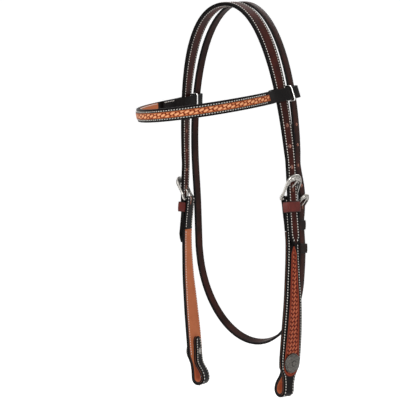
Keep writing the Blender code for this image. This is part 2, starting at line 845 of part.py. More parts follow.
def throat_top_path():
    """The middle of the throatlatch from the billet's tip over the poll and down the off leg."""
    bar = throat_bar
    flat = (seat_gap + throat_layer) / 2
    on_strap = flat + throat_layer + seat_gap
    foot = fixed_keeper_drop + throat_keeper_length
    slide_foot = sliding_keeper_drop + throat_keeper_length
    leg = Vector((throat_leg_span, throat_leg_rear, -throat_leg_drop))
    crest = Vector((0, throat_poll_rear, throat_poll_rise))
    arch = (crest, crest + Vector((throat_shoulder, -throat_poll_sweep, 0)),
            leg + Vector((throat_leg_flare, -throat_leg_sweep, throat_leg_rise)), leg)
    stops = [bar.point(throat_tip_out + seat_gap, -throat_tip_drop),
             bar.point(on_strap + throat_leg_out / 2, -slide_foot, throat_drift),
             bar.point(on_strap, -foot, throat_drift / 2),
             bar.point(on_strap, -fixed_keeper_drop),
             bar.point(throat_billet_bar_out, 0),
             bar.point(throat_billet_bar_out, throat_buckle_height)]
    shares = steps(0, 1, path_step / throat_leg_drop)
    near_arch = [bezier(arch, share) for share in reversed(shares)]
    off_arch = [mirrored(bezier(arch, share)) for share in shares[1:]]
    return smooth_path(stops + near_arch + off_arch)


def throat_path():
    """The whole throatlatch, from the billet's tip to the end of the chape, as (place, thickness) pairs."""
    bar = throat_bar
    path = throat_top_path()
    half = loop_half_span
    bottom = Vector((0, loop_bottom_rear, -loop_bottom_drop))
    low_handle = (loop_bottom_drop - loop_side_drop) * quarter_round_share
    lean_handle = (loop_bottom_rear - loop_side_rear) * quarter_round_share
    flat_handle = Vector((half * quarter_round_share, 0, 0))
    off_side = Vector((-half, loop_side_rear, -loop_side_drop))
    near_side = bar.point(throat_leg_out, throat_bar_drop - loop_side_drop, loop_side_rear - throat_bar_rear)
    down = Vector((0, lean_handle, -low_handle))
    off_buckle = Vector((-half, off_leg_rear, -bar_drop))
    low_side = off_side - down.normalized() * path_step
    run = smooth_path([path[-2], path[-1], off_buckle, low_side, off_side])
    run = run[next(i for i, place in enumerate(run) if place.z < path[-1].z - seat_gap):]
    quarter = steps(0, 1, path_step / (2 * half))[1:]
    run += [bezier((off_side, off_side + down, bottom - flat_handle, bottom), share) for share in quarter]
    run += [bezier((bottom, bottom + flat_handle, near_side + down, near_side), share) for share in quarter]
    leg_top = [bar.point(between(throat_near_leg(), low), -low, throat_drift * low / sliding_keeper_drop)
               for low in steps(sliding_keeper_drop + throat_keeper_length, fine_step, 2 * fine_step)]
    run.append((near_side + leg_top[0]) / 2)
    chape = []
    wrap = throat_bar_radius + seat_gap + throat_chape_layer / 2
    for k in range(small_round // 2 + 1):
        turn = math.tau * k / small_round
        chape.append(bar.place + bar.out * (wrap * math.cos(turn)) + up * (wrap * math.sin(turn)))
    folded = (seat_gap + throat_chape_layer) / 2
    fold = ((0, wrap), (fixed_keeper_drop - seat_gap, folded), (throat_chape_end, folded))
    chape += [bar.point(-between(fold, low), -low, throat_drift * low / sliding_keeper_drop)
              for low in steps(fine_step, throat_chape_end, 2 * fine_step)]
    pairs = [(place, throat_layer) for place in path + run]
    for place in leg_top:
        share = min(1, (bar.place.z - place.z) / fixed_keeper_drop)
        pairs.append((place, throat_chape_layer + (throat_layer - throat_chape_layer) * share))
    return pairs + [(place, throat_chape_layer) for place in chape]


def throat_across(place):
    """Across the throatlatch: level on the legs, leaning at the poll and under the throat."""
    if place.z > -throat_leg_drop:
        share = min(1, abs(place.x) / throat_leg_span)
        turn = surface_lean * math.sqrt(max(0, 1 - share**2))
        return rearward * math.cos(turn) + up * math.sin(turn)
    share = max(0, (-place.z - loop_side_drop) / (loop_bottom_drop - loop_side_drop))
    turn = loop_lean * share
    return rearward * math.cos(turn) + up * math.sin(turn)


def make_throatlatch(material):
    pairs = throat_path()
    tip = pairs[0][0]
    sections = []
    for place, thick in pairs:
        left = (place - tip).length
        width = throat_width
        if left < width / 2:
            width = max(point_width, width * math.sqrt(max(0, 1 - (1 - 2 * left / width)**2)))
        sections.append(Section(place, throat_across(place), width, -thick / 2, thick / 2))
    made = strap("throatlatch_strap", sections, material)
    bar = throat_bar
    tongue_room = 2 * (throat_tongue_radius + tongue_play)
    wrap = throat_bar_radius + seat_gap + throat_chape_layer
    chape_slot = block("throat_chape_slot", bar.place, (bar.out, bar.across, up),
                       (2 * wrap + seat_gap, tongue_room, 4 * wrap), material)
    # The exact solver leaves open edges in this strap's thin wrap.
    use_boolean(made, chape_slot, "DIFFERENCE", "MANIFOLD")
    near = [place for place in throat_top_path() if place.x > 0]
    for k in range(throat_holes_above + 1):
        height = throat_tongue_up + k * throat_hole_pitch - throat_bar_drop
        i = min(range(1, len(near) - 1), key=lambda n: abs(near[n].z - height))
        along = (near[i + 1] - near[i - 1]).normalized()
        across = (rearward - along * along.y).normalized()
        place = near[i] + along * ((height - near[i].z) / along.z)
        out = along.cross(across)
        name = "throat_billet_hole_" + str(k + 1)
        if k:
            cutter = turned(name, ((-throat_layer, throat_hole_radius), (throat_layer, throat_hole_radius)),
                            place, out, small_round, material)
        else:
            long = throat_layer + 4 * throat_tongue_radius + 2 * tongue_play
            cutter = block(name, place, (out, across, along), (2 * throat_layer, tongue_room, long), material)
        use_boolean(made, cutter, "DIFFERENCE", "MANIFOLD")


def make_throat_keepers(material):
    bar = throat_bar
    flat = (seat_gap + throat_layer) / 2
    billet_face = flat + throat_layer + seat_gap + throat_layer / 2
    folded = seat_gap / 2 + throat_chape_layer
    fixed_middle = fixed_keeper_drop + throat_keeper_length / 2
    drift = throat_drift * fixed_middle / sliding_keeper_drop
    sections = closed_band(bar.point(0, -fixed_middle, drift * fixed_keeper_shift_share), bar.out,
                           bar.across, -up, (-folded - seat_gap, billet_face + seat_gap),
                           throat_width + 3 * seat_gap, throat_keeper_length)
    strap("throat_fixed_keeper", sections, material, closed=True)
    slide_middle = sliding_keeper_drop + throat_keeper_length / 2
    inside = (seat_gap / 2 - sliding_keeper_play, billet_face + throat_leg_out / 2 + sliding_keeper_play)
    sections = closed_band(bar.point(0, -slide_middle, throat_drift), bar.out, bar.across, -up,
                           inside, throat_width + 2 * sliding_keeper_play, throat_keeper_length)
    strap("throat_sliding_keeper", sections, material,
          bar.point((inside[0] + inside[1]) / 2, -slide_middle), closed=True)


band_along = rearward * math.cos(band_tilt) + up * math.sin(band_tilt)
band_up = up * math.cos(band_tilt) - rearward * math.sin(band_tilt)
band_pivot = Vector((0, band_pivot_rear, -band_drop))


def crossing(line):
    """Where a strap of (place, width) pairs passes through the browband's middle plane.

    Gives its distance to the side and to the rear, and its width there.
    """
    for (before, width), (after, _) in zip(line, line[1:]):
        low = (before - band_pivot).dot(band_up)
        high = (after - band_pivot).dot(band_up)
        if low * high <= 0:
            place = before + (after - before) * (low / (low - high))
            return place.x, band_pivot_rear + (place - band_pivot).dot(band_along), width


crown_span, crown_rear, crown_wide = crossing([(section[0], section[2]) for section in crown_half()])
throat_span, throat_rear, throat_wide = crossing([(place, throat_width) for place in throat_top_path()])
band_span = crown_span + side_outside
band_start_span = crown_span + start_outside
band_start_rear = crown_rear - start_ahead
band_inner_front_span = crown_span - front_inside
band_loop_front = crown_rear - front_ahead
band_outer_rear_span = throat_span + rear_outside
band_inner_rear_span = throat_span - rear_inside
band_loop_rear = throat_rear + rear_behind
band_bend_rear = throat_rear + bend_behind
ring_rear = ((crown_rear + crown_wide / 2) + (throat_rear - throat_wide / 2)) / 2


def on_band(span, rear):
    """A point of the browband's middle plane, from its distance to the side and to the rear."""
    return band_pivot + Vector((span, 0, 0)) + band_along * (rear - band_pivot_rear)


def band_across(place):
    """Up the browband's width. Near the loops it leans in like the legs it goes round."""
    rear = place.y
    share = min(1, max(0, (rear - band_lean_end) / (band_loop_front - band_lean_end)))
    lean = band_leg_lean * share * share * (3 - 2 * share)
    return band_up - Vector((math.copysign(lean, place.x), 0, 0))


def band_front_half():
    """The middle of the dark layer from the near loop to the centre of the brow."""
    start = on_band(band_start_span, band_start_rear)
    crest = on_band(0, -band_front)
    reach = band_front + band_start_rear
    side = on_band(band_span + (band_span - band_start_span) * 2 / 3,
                   band_start_rear - reach * quarter_round_share)
    front = on_band(band_span * quarter_round_share, -band_front)
    shares = steps(0, 1, path_step / (2 * band_span))
    return [bezier((start, side, front, crest), share) for share in shares]


def shifted(path, distance):
    """The path moved sideways, outward when the distance is positive."""
    moved = []
    last = len(path) - 1
    for i, place in enumerate(path):
        along = (path[min(i + 1, last)] - path[max(i - 1, 0)]).normalized()
        out = band_across(place).cross(along).normalized()
        moved.append(place + out * distance)
    return moved


def whole_band(half):
    """A near half path, from the rear to the centre, with its mirror image after it."""
    return half + [mirrored(place) for place in half[-2::-1]]


def band_strap_half():
    fold_out = -(dark_layer + seat_gap)
    front = band_front_half()
    inner = shifted(front, fold_out)
    fold = [place for place in inner if place.y > band_fold_end][::-1]
    loop = [on_band(band_inner_front_span, band_loop_front),
            on_band(band_inner_rear_span, band_loop_rear),
            on_band((band_inner_rear_span + band_outer_rear_span) / 2, band_bend_rear),
            on_band(band_outer_rear_span, band_loop_rear)]
    drawn = smooth_path([fold[-2], fold[-1]] + loop + [front[0], front[1]], fine_step)
    start = next(i for i, place in enumerate(drawn) if (place - fold[-1]).length < seat_gap)
    end = next(i for i, place in enumerate(drawn) if (place - front[0]).length < seat_gap)
    return fold[:-1] + drawn[start:end] + front


def band_ply(name, end, width, low, high, material):
    """A ply sewn along the browband, which ends level with the given place on both sides."""
    path = whole_band(band_front_half())
    sections = []
    for before, place, after in zip(path, path[1:], path[2:]):
        if place.y < end:
            along = (after - before).normalized()
            sections.append(Section(place, band_across(place), width, low, high, along))
    strap(name, sections, material, band_pivot)


def make_browband(leather, russet, tan):
    half = dark_layer / 2
    sections = [Section(place, band_across(place), band_height, -half, half)
                for place in whole_band(band_strap_half())]
    strap("browband_strap", sections, leather, band_pivot)
    band_ply("browband_overlay", band_stop_end, band_height - 2 * overlay_border,
             -half - seat_gap - overlay_layer, -half - seat_gap, russet)
    band_ply("browband_lining", band_fold_end - fine_step, band_height,
             half + seat_gap, half + seat_gap + tan_layer, tan)


def make_band_ring(word, side, material):
    """A wire ring that draws the band's loop together between the two straps in it."""
    path = band_strap_half()
    crossings = []
    for before, after in zip(path, path[1:]):
        if (before.y - ring_rear) * (after.y - ring_rear) < 0:
            share = (ring_rear - before.y) / (after.y - before.y)
            crossings.append(before.x + (after.x - before.x) * share)
    inner, outer = min(crossings), max(crossings)
    wide = (outer - inner + dark_layer) / 2 + seat_gap * 2 + ring_wire
    high = band_height / 2 + seat_gap * 2 + ring_wire
    centre = on_band((outer + inner) / 2, ring_rear)
    corner = 3 * ring_wire
    points = []
    for quarter, (a, b) in enumerate(((1, 1), (-1, 1), (-1, -1), (1, -1))):
        for k in range(5):
            turn = math.pi / 2 * (quarter + k / 4)
            x = a * (wide - corner) + corner * math.cos(turn)
            z = b * (high - corner) + corner * math.sin(turn)
            lean = Vector((x - z * band_leg_lean, 0, 0)) + band_up * z
            points.append(centre + lean - band_along * (ring_slant * z / high))
    rod(word + "_browband_ring", points, ring_wire, band_along, material, band_pivot, side, closed=True)


def main():
    clear_scene()
    leather = make_material("Dark brown leather", (0.045, 0.014, 0.009), 0.45, 0)
    black = make_material("Black leather", (0.012, 0.009, 0.008), 0.5, 0)
    tan = make_material("Rough tan leather", (0.42, 0.16, 0.06), 0.85, 0)
    russet = make_material("Tooled russet leather", (0.45, 0.11, 0.02), 0.4, 0)
    red = make_material("Red brown leather", (0.12, 0.012, 0.006), 0.3, 0)
    silver = make_material("Antiqued silver", (0.55, 0.52, 0.48), 0.25, 1)
    crown = crown_ply("crown_strap", seat_gap / 2, seat_gap / 2 + dark_layer, leather)
    crown_lining = crown_ply("crown_lining", -seat_gap / 2 - tan_layer, -seat_gap / 2, leather)
    for word, side in (("near", 1), ("off", -1)):
        for cutter in billet_holes(word, leather, side):
            use_boolean(crown, cutter, "DIFFERENCE")
            use_boolean(crown_lining, cutter, "DIFFERENCE")
        make_cheek_side(word, side, black, tan, russet, red, silver)
        make_band_ring(word, side, silver)
    make_throatlatch(leather)
    make_throat_keepers(leather)
    sizes = throat_frame_sizes()
    make_frame("throat_buckle_frame", throat_bar, throat_buckle_tilt, sizes, silver, 1)
    faces = (throat_billet_bar_out - throat_layer / 2, throat_billet_bar_out + throat_layer / 2)
    make_tongue("throat_buckle_tongue", throat_bar, throat_buckle_tilt, sizes, throat_tongue_radius,
                faces, throat_tongue_up, silver, 1)
    make_browband(black, russet, tan)


main()
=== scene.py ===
import bisect
import math
from dataclasses import dataclass

import bmesh
import bpy
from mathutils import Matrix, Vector


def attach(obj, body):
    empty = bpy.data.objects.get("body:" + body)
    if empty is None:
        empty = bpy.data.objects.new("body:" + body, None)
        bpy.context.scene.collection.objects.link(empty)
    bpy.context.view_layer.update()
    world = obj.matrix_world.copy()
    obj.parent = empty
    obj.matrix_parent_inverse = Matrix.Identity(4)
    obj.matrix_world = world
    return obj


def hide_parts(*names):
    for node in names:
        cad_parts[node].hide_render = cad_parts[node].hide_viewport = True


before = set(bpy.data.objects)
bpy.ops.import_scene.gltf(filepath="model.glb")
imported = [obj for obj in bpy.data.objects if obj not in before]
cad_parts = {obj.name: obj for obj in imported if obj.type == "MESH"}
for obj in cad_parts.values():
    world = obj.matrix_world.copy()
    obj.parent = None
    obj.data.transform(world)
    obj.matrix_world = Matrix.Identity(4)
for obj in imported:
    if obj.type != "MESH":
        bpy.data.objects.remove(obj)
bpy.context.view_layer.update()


# Crown piece. Two plies of dark bridle leather run over the poll and down to both billets. They
# are skived thin at the ends, sewn along both edges with waxed white thread, and the rim is
# burnished black. The billets are punched for the cheek buckles.
up = Vector((0, 0, 1))
rearward = Vector((0, 1, 0))
dark_layer = 0.0023
tan_layer = 0.0022
seat_gap = 0.0003
poll_width = 0.022
crown_billet_width = 0.016
billet_skive = 0.0006
surface_lean = math.radians(9.5)
crown_leg_span = 0.0872
crown_leg_drop = 0.2026
crown_leg_rear = 0.0214
crown_shoulder = 0.0606
crown_leg_rise = 0.1116
crown_leg_flare = 0.0062
crown_leg_sweep = 0.0118
crown_width_shares = ((0, 1.0), (0.45, 1.0), (0.72, 0.86), (1.0, 0.745))
bar_span = 0.0873
bar_rear = 0.0235
bar_drop = 0.2511
bar_radius = 0.0015
cheek_toe_in = math.radians(10.5)
cheek_drop = 0.2445
cheek_inset = 0.0118
top_forward = 0.0015
keeper_layer = 0.0012
keeper_top_drop = 0.004
keeper_length = 0.0135
chape_close = 0.012
cheek_inset_shares = ((0.0, -0.34), (0.08, -0.2), (0.2, -0.015), (0.29, 0.0), (0.45, -0.1),
                      (0.61, -0.33), (0.78, -0.66), (0.86, -0.81), (1.0, -1.0))
billet_start_forward = 0.0018
billet_bar_out = 0.0027
billet_tip_out = 0.007
billet_tip_drop = 0.0595
billet_point = 0.010
point_width = 0.003
tongue_radius = 0.001
tongue_play = 0.0006
tongue_hole_up = 0.0140
hole_pitch = 0.0262
hole_radius = 0.0019
holes_above = 3
hole_flare = 0.0005
path_step = 0.010
fine_step = 0.003
mesh_step = 0.0025
rim_round = 0.0007
round_spans = 3
stitch_pitch = 0.0034
stitch_length = 0.0023
stitch_radius = 0.00058
stitch_slant = 0.14
stitch_proud = 0.3 * stitch_radius
bead_spans = 7
crown_stitch_inset = 0.0029
crown_seam_margin = 0.005
hole_spans = 20


def mirrored(point):
    return Vector((-point.x, point.y, point.z))


def bezier(points, share):
    """A point on the cubic curve with these four control points."""
    rest = 1 - share
    return (points[0] * rest**3 + points[1] * (3 * share * rest**2)
            + points[2] * (3 * share**2 * rest) + points[3] * share**3)


def smooth_path(stops, step=path_step):
    """Even points on a rounded curve through the stops."""
    last = len(stops) - 1
    slopes = [(stops[min(i + 1, last)] - stops[max(i - 1, 0)]).normalized() for i in range(last + 1)]
    points = []
    for i in range(last):
        span = (stops[i + 1] - stops[i]).length
        count = max(1, round(span / step))
        handles = (stops[i], stops[i] + slopes[i] * (span / 3),
                   stops[i + 1] - slopes[i + 1] * (span / 3), stops[i + 1])
        points += [bezier(handles, k / count) for k in range(count)]
    return points + [stops[last]]


def arc(centre, across, other, radius, start, end, spans):
    """Points on an arc between two turns, which count from the way across towards the other way."""
    turns = [start + (end - start) * k / spans for k in range(spans + 1)]
    return [centre + across * (radius * math.cos(turn)) + other * (radius * math.sin(turn))
            for turn in turns]


def eased(t, first, second, start, end):
    """A value between the first and the second, which leaves and arrives with these slopes."""
    return ((2 * t**3 - 3 * t**2 + 1) * first + (t**3 - 2 * t**2 + t) * start
            + (3 * t**2 - 2 * t**3) * second + (t**3 - t**2) * end)


def read_shares(table, place):
    """A value read on an eased curve through the (place, value) pairs of the table."""
    last = len(table) - 1
    i = 0
    while i < last - 1 and place > table[i + 1][0]:
        i += 1
    (low, first), (high, second) = table[i], table[i + 1]
    before = table[max(i - 1, 0)]
    after = table[min(i + 2, last)]
    span = high - low
    start = (second - before[1]) / (high - before[0]) * span
    end = (after[1] - first) / (after[0] - low) * span
    return eased(min(1, max(0, (place - low) / span)), first, second, start, end)


def between(table, place):
    """A value read on straight lines through the (place, value) pairs of the table."""
    for (low, first), (high, second) in zip(table, table[1:]):
        if place <= high:
            return first + (second - first) * max(0, (place - low) / (high - low))
    return table[-1][1]


def steps(first, last, step=path_step):
    """Even values from the first to the last, about a step apart."""
    count = max(1, round(abs(last - first) / step))
    return [first + (last - first) * k / count for k in range(count + 1)]


def smoothstep(low, high, value):
    share = min(1, max(0, (value - low) / (high - low)))
    return share * share * (3 - 2 * share)


def hump(value, middle, reach):
    """1 at the middle and next to nothing two reaches away from it."""
    return math.exp(-((value - middle) / reach) ** 2)


@dataclass
class Station:
    """One section of a strap: its place, the way across, its width, its two faces and the way along."""

    place: Vector
    across: Vector
    width: float
    low: float
    high: float
    along: Vector = None


def refined(stations, step=mesh_step, closed=False):
    """More stations between the given ones, on a smooth curve through their places."""
    found = []
    last = len(stations) - 1
    for i in range(last + 1 if closed else last):
        a, b = stations[i], stations[(i + 1) % (last + 1)]
        before = stations[i - 1] if closed or i else a
        after = stations[(i + 2) % (last + 1)] if closed or i + 2 <= last else b
        span = (b.place - a.place).length
        lead = (b.place - before.place).normalized() * span
        trail = (after.place - a.place).normalized() * span
        count = max(1, round(span / step))
        handles = (a.place, a.place + lead / 3, b.place - trail / 3, b.place)
        for k in range(count):
            share = k / count
            along = a.along.lerp(b.along, share).normalized() if a.along and b.along else None
            numbers = [first + (second - first) * share for first, second in
                       ((a.width, b.width), (a.low, b.low), (a.high, b.high))]
            found.append(Station(bezier(handles, share), a.across.lerp(b.across, share), *numbers, along))
    return found if closed else found + [stations[last]]


class Strap:
    """Stations in a row, with the ways along, across and out of the strap at each of them."""

    def __init__(self, stations, closed=False):
        self.stations = stations
        self.closed = closed
        self.frames = []
        self.distances = [0]
        last = len(stations) - 1
        for i, station in enumerate(stations):
            before = stations[i - 1] if closed or i else station
            after = stations[(i + 1) % (last + 1)] if closed or i < last else station
            along = station.along or (after.place - before.place).normalized()
            across = (station.across - along * station.across.dot(along)).normalized()
            self.frames.append((along, across, along.cross(across)))
            if i:
                self.distances.append(self.distances[-1] + (station.place - stations[i - 1].place).length)

    def at(self, distance):
        """The place, the three directions, and half the width and the faces this far along."""
        i = min(len(self.distances) - 2, max(0, bisect.bisect_right(self.distances, distance) - 1))
        first, second = self.stations[i], self.stations[i + 1]
        share = (distance - self.distances[i]) / (self.distances[i + 1] - self.distances[i])
        axes = [a.lerp(b, share).normalized() for a, b in zip(self.frames[i], self.frames[i + 1])]
        pairs = ((first.width / 2, second.width / 2), (first.low, second.low), (first.high, second.high))
        return first.place.lerp(second.place, share), axes, [a + (b - a) * share for a, b in pairs]


def loft(rings, closed=False):
    """Corners and faces through rings of as many points each. The two flat ends come last."""
    count = len(rings[0])
    corners = [tuple(point) for ring in rings for point in ring]
    faces = []
    for i in range(len(rings) if closed else len(rings) - 1):
        a, b = i * count, (i + 1) % len(rings) * count
        faces += [(a + k, a + (k + 1) % count, b + (k + 1) % count, b + k) for k in range(count)]
    if not closed:
        faces += [tuple(range(count)), tuple(range(len(corners) - count, len(corners)))]
    return corners, faces


def gathered(parts):
    """One list of corners and one of faces out of many."""
    corners, faces = [], []
    for more_corners, more_faces in parts:
        first = len(corners)
        corners += more_corners
        faces += [tuple(first + k for k in face) for face in more_faces]
    return corners, faces


def add_mesh(name, shape, finishes, side=1, maps=None, flat_ends=0):
    """A mesh object from corners and faces, mirrored for the off side. Maps hold a pair per corner."""
    corners, faces = shape
    if side < 0:
        corners = [(-x, y, z) for x, y, z in corners]
        faces = [face[::-1] for face in faces]
    data = bpy.data.meshes.new(name)
    data.from_pydata(corners, [], faces)
    for map_name, pairs in (maps or {}).items():
        layer = data.uv_layers.new(name=map_name)
        for loop in data.loops:
            layer.data[loop.index].uv = pairs[loop.vertex_index]
    work = bmesh.new()
    work.from_mesh(data)
    bmesh.ops.recalc_face_normals(work, faces=work.faces)
    work.to_mesh(data)
    work.free()
    data.shade_smooth()
    for polygon in data.polygons[len(faces) - flat_ends:]:
        polygon.use_smooth = False
    for finish in finishes:
        data.materials.append(finish)
    made = bpy.data.objects.new(name, data)
    bpy.context.scene.collection.objects.link(made)
    return made


def place_piece(piece, body, node=None):
    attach(piece, body)
    if node:
        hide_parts(node)


def strap_piece(name, strap, finishes, side=1, relief=None, spans=10, rounding=rim_round):
    """A strap with rounded edges. Relief gives the rise of its outer face, and a tone, at each point.

    The lay map holds the distances along and across. The rim map holds the distance from the
    edge, and the tone, which is 0 on the inner face and 1 on a plain outer one.
    """
    rings, lay, rim = [], [], []
    under = 6
    for station, (_, across, out), distance in zip(strap.stations, strap.frames, strap.distances):
        half = station.width / 2
        low, high = station.low, station.high
        edge = min(rounding, (high - low) / 2.2, half / 3)
        inner = half - edge
        outline = [(2 * inner * k / under - inner, low, 0) for k in range(under)]
        for centre, level, start in ((inner, low + edge, -0.5), (inner, high - edge, 0)):
            for k in range(round_spans + 1):
                turn = math.pi * (start + 0.5 * k / round_spans)
                tone = k / round_spans if start else 1
                outline.append((centre + edge * math.cos(turn), level + edge * math.sin(turn), tone))
        for k in range(1, spans):
            v = inner - 2 * inner * k / spans
            lift, tone = relief(distance, v, half) if relief else (0, 1)
            outline.append((v, high + lift, tone))
        for centre, level, start in ((-inner, high - edge, 0.5), (-inner, low + edge, 1)):
            for k in range(round_spans + (start < 1)):
                turn = math.pi * (start + 0.5 * k / round_spans)
                tone = 1 if start < 1 else 1 - k / round_spans
                outline.append((centre + edge * math.cos(turn), level + edge * math.sin(turn), tone))
        rings.append([station.place + across * v + out * w for v, w, _ in outline])
        lay += [(distance, v) for v, _, _ in outline]
        rim += [(half - abs(v), tone) for v, _, tone in outline]
    shape = loft(rings, strap.closed)
    return add_mesh(name, shape, finishes, side, {"lay": lay, "rim": rim}, 0 if strap.closed else 2)


def bead(place, along, across, out):
    """One stitch: a short length of thread whose two ends dive into the leather."""
    rings = []
    for share, swell in ((-1, 0.4), (-0.7, 0.9), (0, 1), (0.7, 0.9), (1, 0.4)):
        middle = place + along * (share * stitch_length / 2) - out * (stitch_radius * 1.4 * share**4)
        rings.append(arc(middle, across, out, stitch_radius * swell, 0, math.tau, bead_spans)[:-1])
    return loft(rings)


def seam(strap, start, end, inset, face):
    """Beads from start to end in two rows, this far inside both edges. Face is 1 on the outer face.

    The rows stop where the strap is narrow.
    """
    found = []
    for sign in (-1, 1):
        for k in range(int((end - start) / stitch_pitch)):
            place, (along, across, out), (half, low, high) = strap.at(start + stitch_pitch * (k + 0.5))
            if half > inset + stitch_radius:
                lead = (along * math.cos(stitch_slant) + across * math.sin(stitch_slant) * face).normalized()
                level = high + stitch_proud if face > 0 else low - stitch_proud
                middle = place + across * (sign * (half - inset)) + out * level
                found.append(bead(middle, lead, out.cross(lead), out * face))
    return gathered(found)


def cut(piece, cutters):
    """Takes the cutters away from a piece and keeps the result. The cuts show the second finish."""
    tool = add_mesh(piece.name + "_cutter", gathered(cutters), piece.data.materials)
    for polygon in tool.data.polygons:
        polygon.material_index = 1
        polygon.use_smooth = False
    modifier = piece.modifiers.new("holes", "BOOLEAN")
    modifier.object = tool
    modifier.operation = "DIFFERENCE"
    modifier.solver = "EXACT"
    graph = bpy.context.evaluated_depsgraph_get()
    result = bpy.data.meshes.new_from_object(piece.evaluated_get(graph))
    piece.modifiers.clear()
    piece.data = result
    bpy.data.objects.remove(tool)


def turned(start, axis, profile):
    """A solid of revolution through (height, radius) pairs."""
    across = axis.orthogonal().normalized()
    first = math.pi / hole_spans
    return loft([arc(start + axis * height, across, axis.cross(across), radius, first, first + math.tau,
                     hole_spans)[:-1] for height, radius in profile])


def box(centre, axes, sizes):
    """A block with these whole sizes along its three axes."""
    a, b, c = (axis * (size / 2) for axis, size in zip(axes, sizes))
    square = ((1, 1), (-1, 1), (-1, -1), (1, -1))
    return loft([[centre + a * s + b * t + c * w for t, w in square] for s in (-1, 1)])


def on_side(shape, side):
    """The shape itself on the near side, or its mirror image on the off side."""
    corners, faces = shape
    return [(side * x, y, z) for x, y, z in corners], faces


class Wire:
    """A value or colour that runs between the nodes of one material."""

    def __init__(self, finish, socket):
        self.finish = finish
        self.socket = socket

    def maths(self, operation, other):
        return self.finish.node("ShaderNodeMath", {"operation": operation}, {0: self, 1: other})

    def __add__(self, other):
        return self.maths("ADD", other)

    __radd__ = __add__

    def __sub__(self, other):
        return self.maths("SUBTRACT", other)

    def __rsub__(self, other):
        return self * -1 + other

    def __mul__(self, other):
        return self.maths("MULTIPLY", other)

    __rmul__ = __mul__

    def ramp(self, low, high):
        """0 below low, 1 above high and smooth between them."""
        inputs = {"Value": self, "From Min": low, "From Max": high}
        return self.finish.node("ShaderNodeMapRange", {"interpolation_type": "SMOOTHSTEP"}, inputs)


class Finish:
    """The nodes of a material, or of the world."""

    def __init__(self, owner, shader="Principled BSDF"):
        self.material = owner
        owner.use_nodes = True
        self.tree = owner.node_tree
        self.shader = self.tree.nodes[shader]

    def join(self, socket, value):
        if isinstance(value, Wire):
            self.tree.links.new(value.socket, socket)
        else:
            socket.default_value = (*value, 1) if socket.type == "RGBA" else value

    def node(self, kind, settings, inputs, output=0):
        """Adds a node, makes its settings first and then joins or fills its sockets."""
        made = self.tree.nodes.new(kind)
        for key, value in settings.items():
            if key == "stops":
                for _ in range(len(value) - 2):
                    made.color_ramp.elements.new(0.5)
                for element, (position, colour) in zip(made.color_ramp.elements, value):
                    element.position = position
                    element.color = (*colour, 1)
            else:
                setattr(made, key, value)
        for key, value in inputs.items():
            self.join(made.inputs[key], value)
        return Wire(self, made.outputs[output])

    def drive(self, **sockets):
        """Fills or joins the shader's own sockets."""
        for key, value in sockets.items():
            self.join(self.shader.inputs[key.replace("_", " ")], value)

    def noise(self, scale, detail, rough=0.55):
        inputs = {"Vector": self.place, "Scale": scale, "Detail": detail, "Roughness": rough}
        return self.node("ShaderNodeTexNoise", {}, inputs)

    def cells(self, scale):
        inputs = {"Vector": self.place, "Scale": scale}
        return self.node("ShaderNodeTexVoronoi", {"feature": "F1"}, inputs, "Distance")

    def mixed(self, share, first, second):
        return self.node("ShaderNodeMix", {"data_type": "RGBA"}, {0: share, 6: first, 7: second}, 2)

    def map_pair(self, name):
        """The two numbers that a map of the mesh holds."""
        pair = self.node("ShaderNodeUVMap", {"uv_map": name}, {})
        split = self.node("ShaderNodeSeparateXYZ", {}, {0: pair})
        return split, Wire(self, split.socket.node.outputs[1])

    def bump(self, height, strength, distance):
        inputs = {"Height": height, "Strength": strength, "Distance": distance}
        self.drive(Normal=self.node("ShaderNodeBump", {}, inputs))


def new_finish(name):
    """A new material, and the place on the piece that its textures read."""
    finish = Finish(bpy.data.materials.new(name))
    finish.place = finish.node("ShaderNodeTexCoord", {}, {}, "Object")
    return finish


class Bar:
    """The heel bar of a buckle on the near side, and the directions of the strap it carries."""

    def __init__(self, span, rear, drop, toe_in, out=0.0, forward=0.0):
        self.out = Vector((math.cos(toe_in), -math.sin(toe_in), 0))
        self.across = Vector((math.sin(toe_in), math.cos(toe_in), 0))
        self.base = Vector((span, rear, -drop))
        self.place = self.base + self.out * out - self.across * forward
        self.forward = forward

    def point(self, out, height, across=0.0):
        """A point this far outside the strap line, above the bar and to the rear."""
        return self.base + self.out * out + self.across * across + up * height


def cheek_line(drop):
    """How far outside the upright through the bar the middle of the cheek piece lies."""
    return cheek_inset * read_shares(cheek_inset_shares, drop / cheek_drop)


cheek_bar = Bar(bar_span, bar_rear, bar_drop, cheek_toe_in, cheek_line(0), top_forward)
outer_ply = dark_layer - billet_skive
inner_ply = tan_layer - billet_skive


def chape_spread(drop):
    """Half the room between the two plies of the chape, for the bar and for the keeper's wall."""
    wrap = bar_radius + seat_gap / 2
    wall = (keeper_layer + seat_gap) / 2
    foot = keeper_top_drop + keeper_length
    return between(((0, wrap), (keeper_top_drop, (wrap + wall) / 2), (foot, wall),
                    (foot + chape_close, 0), (cheek_drop, 0)), drop)


def billet_foot_out():
    """Where the billet's middle lies as it leaves the keeper, seated on the cheek piece."""
    foot = keeper_top_drop + keeper_length
    face = cheek_line(foot) + chape_spread(foot) + seat_gap / 2 + dark_layer
    return face + seat_gap + inner_ply + seat_gap / 2


def arch_across(tangent):
    """The way across a strap that lies on the horse's head, for this direction along it."""
    out = Vector((-tangent.z, 0, tangent.x)).normalized()
    return rearward * math.cos(surface_lean) + out * math.sin(surface_lean)


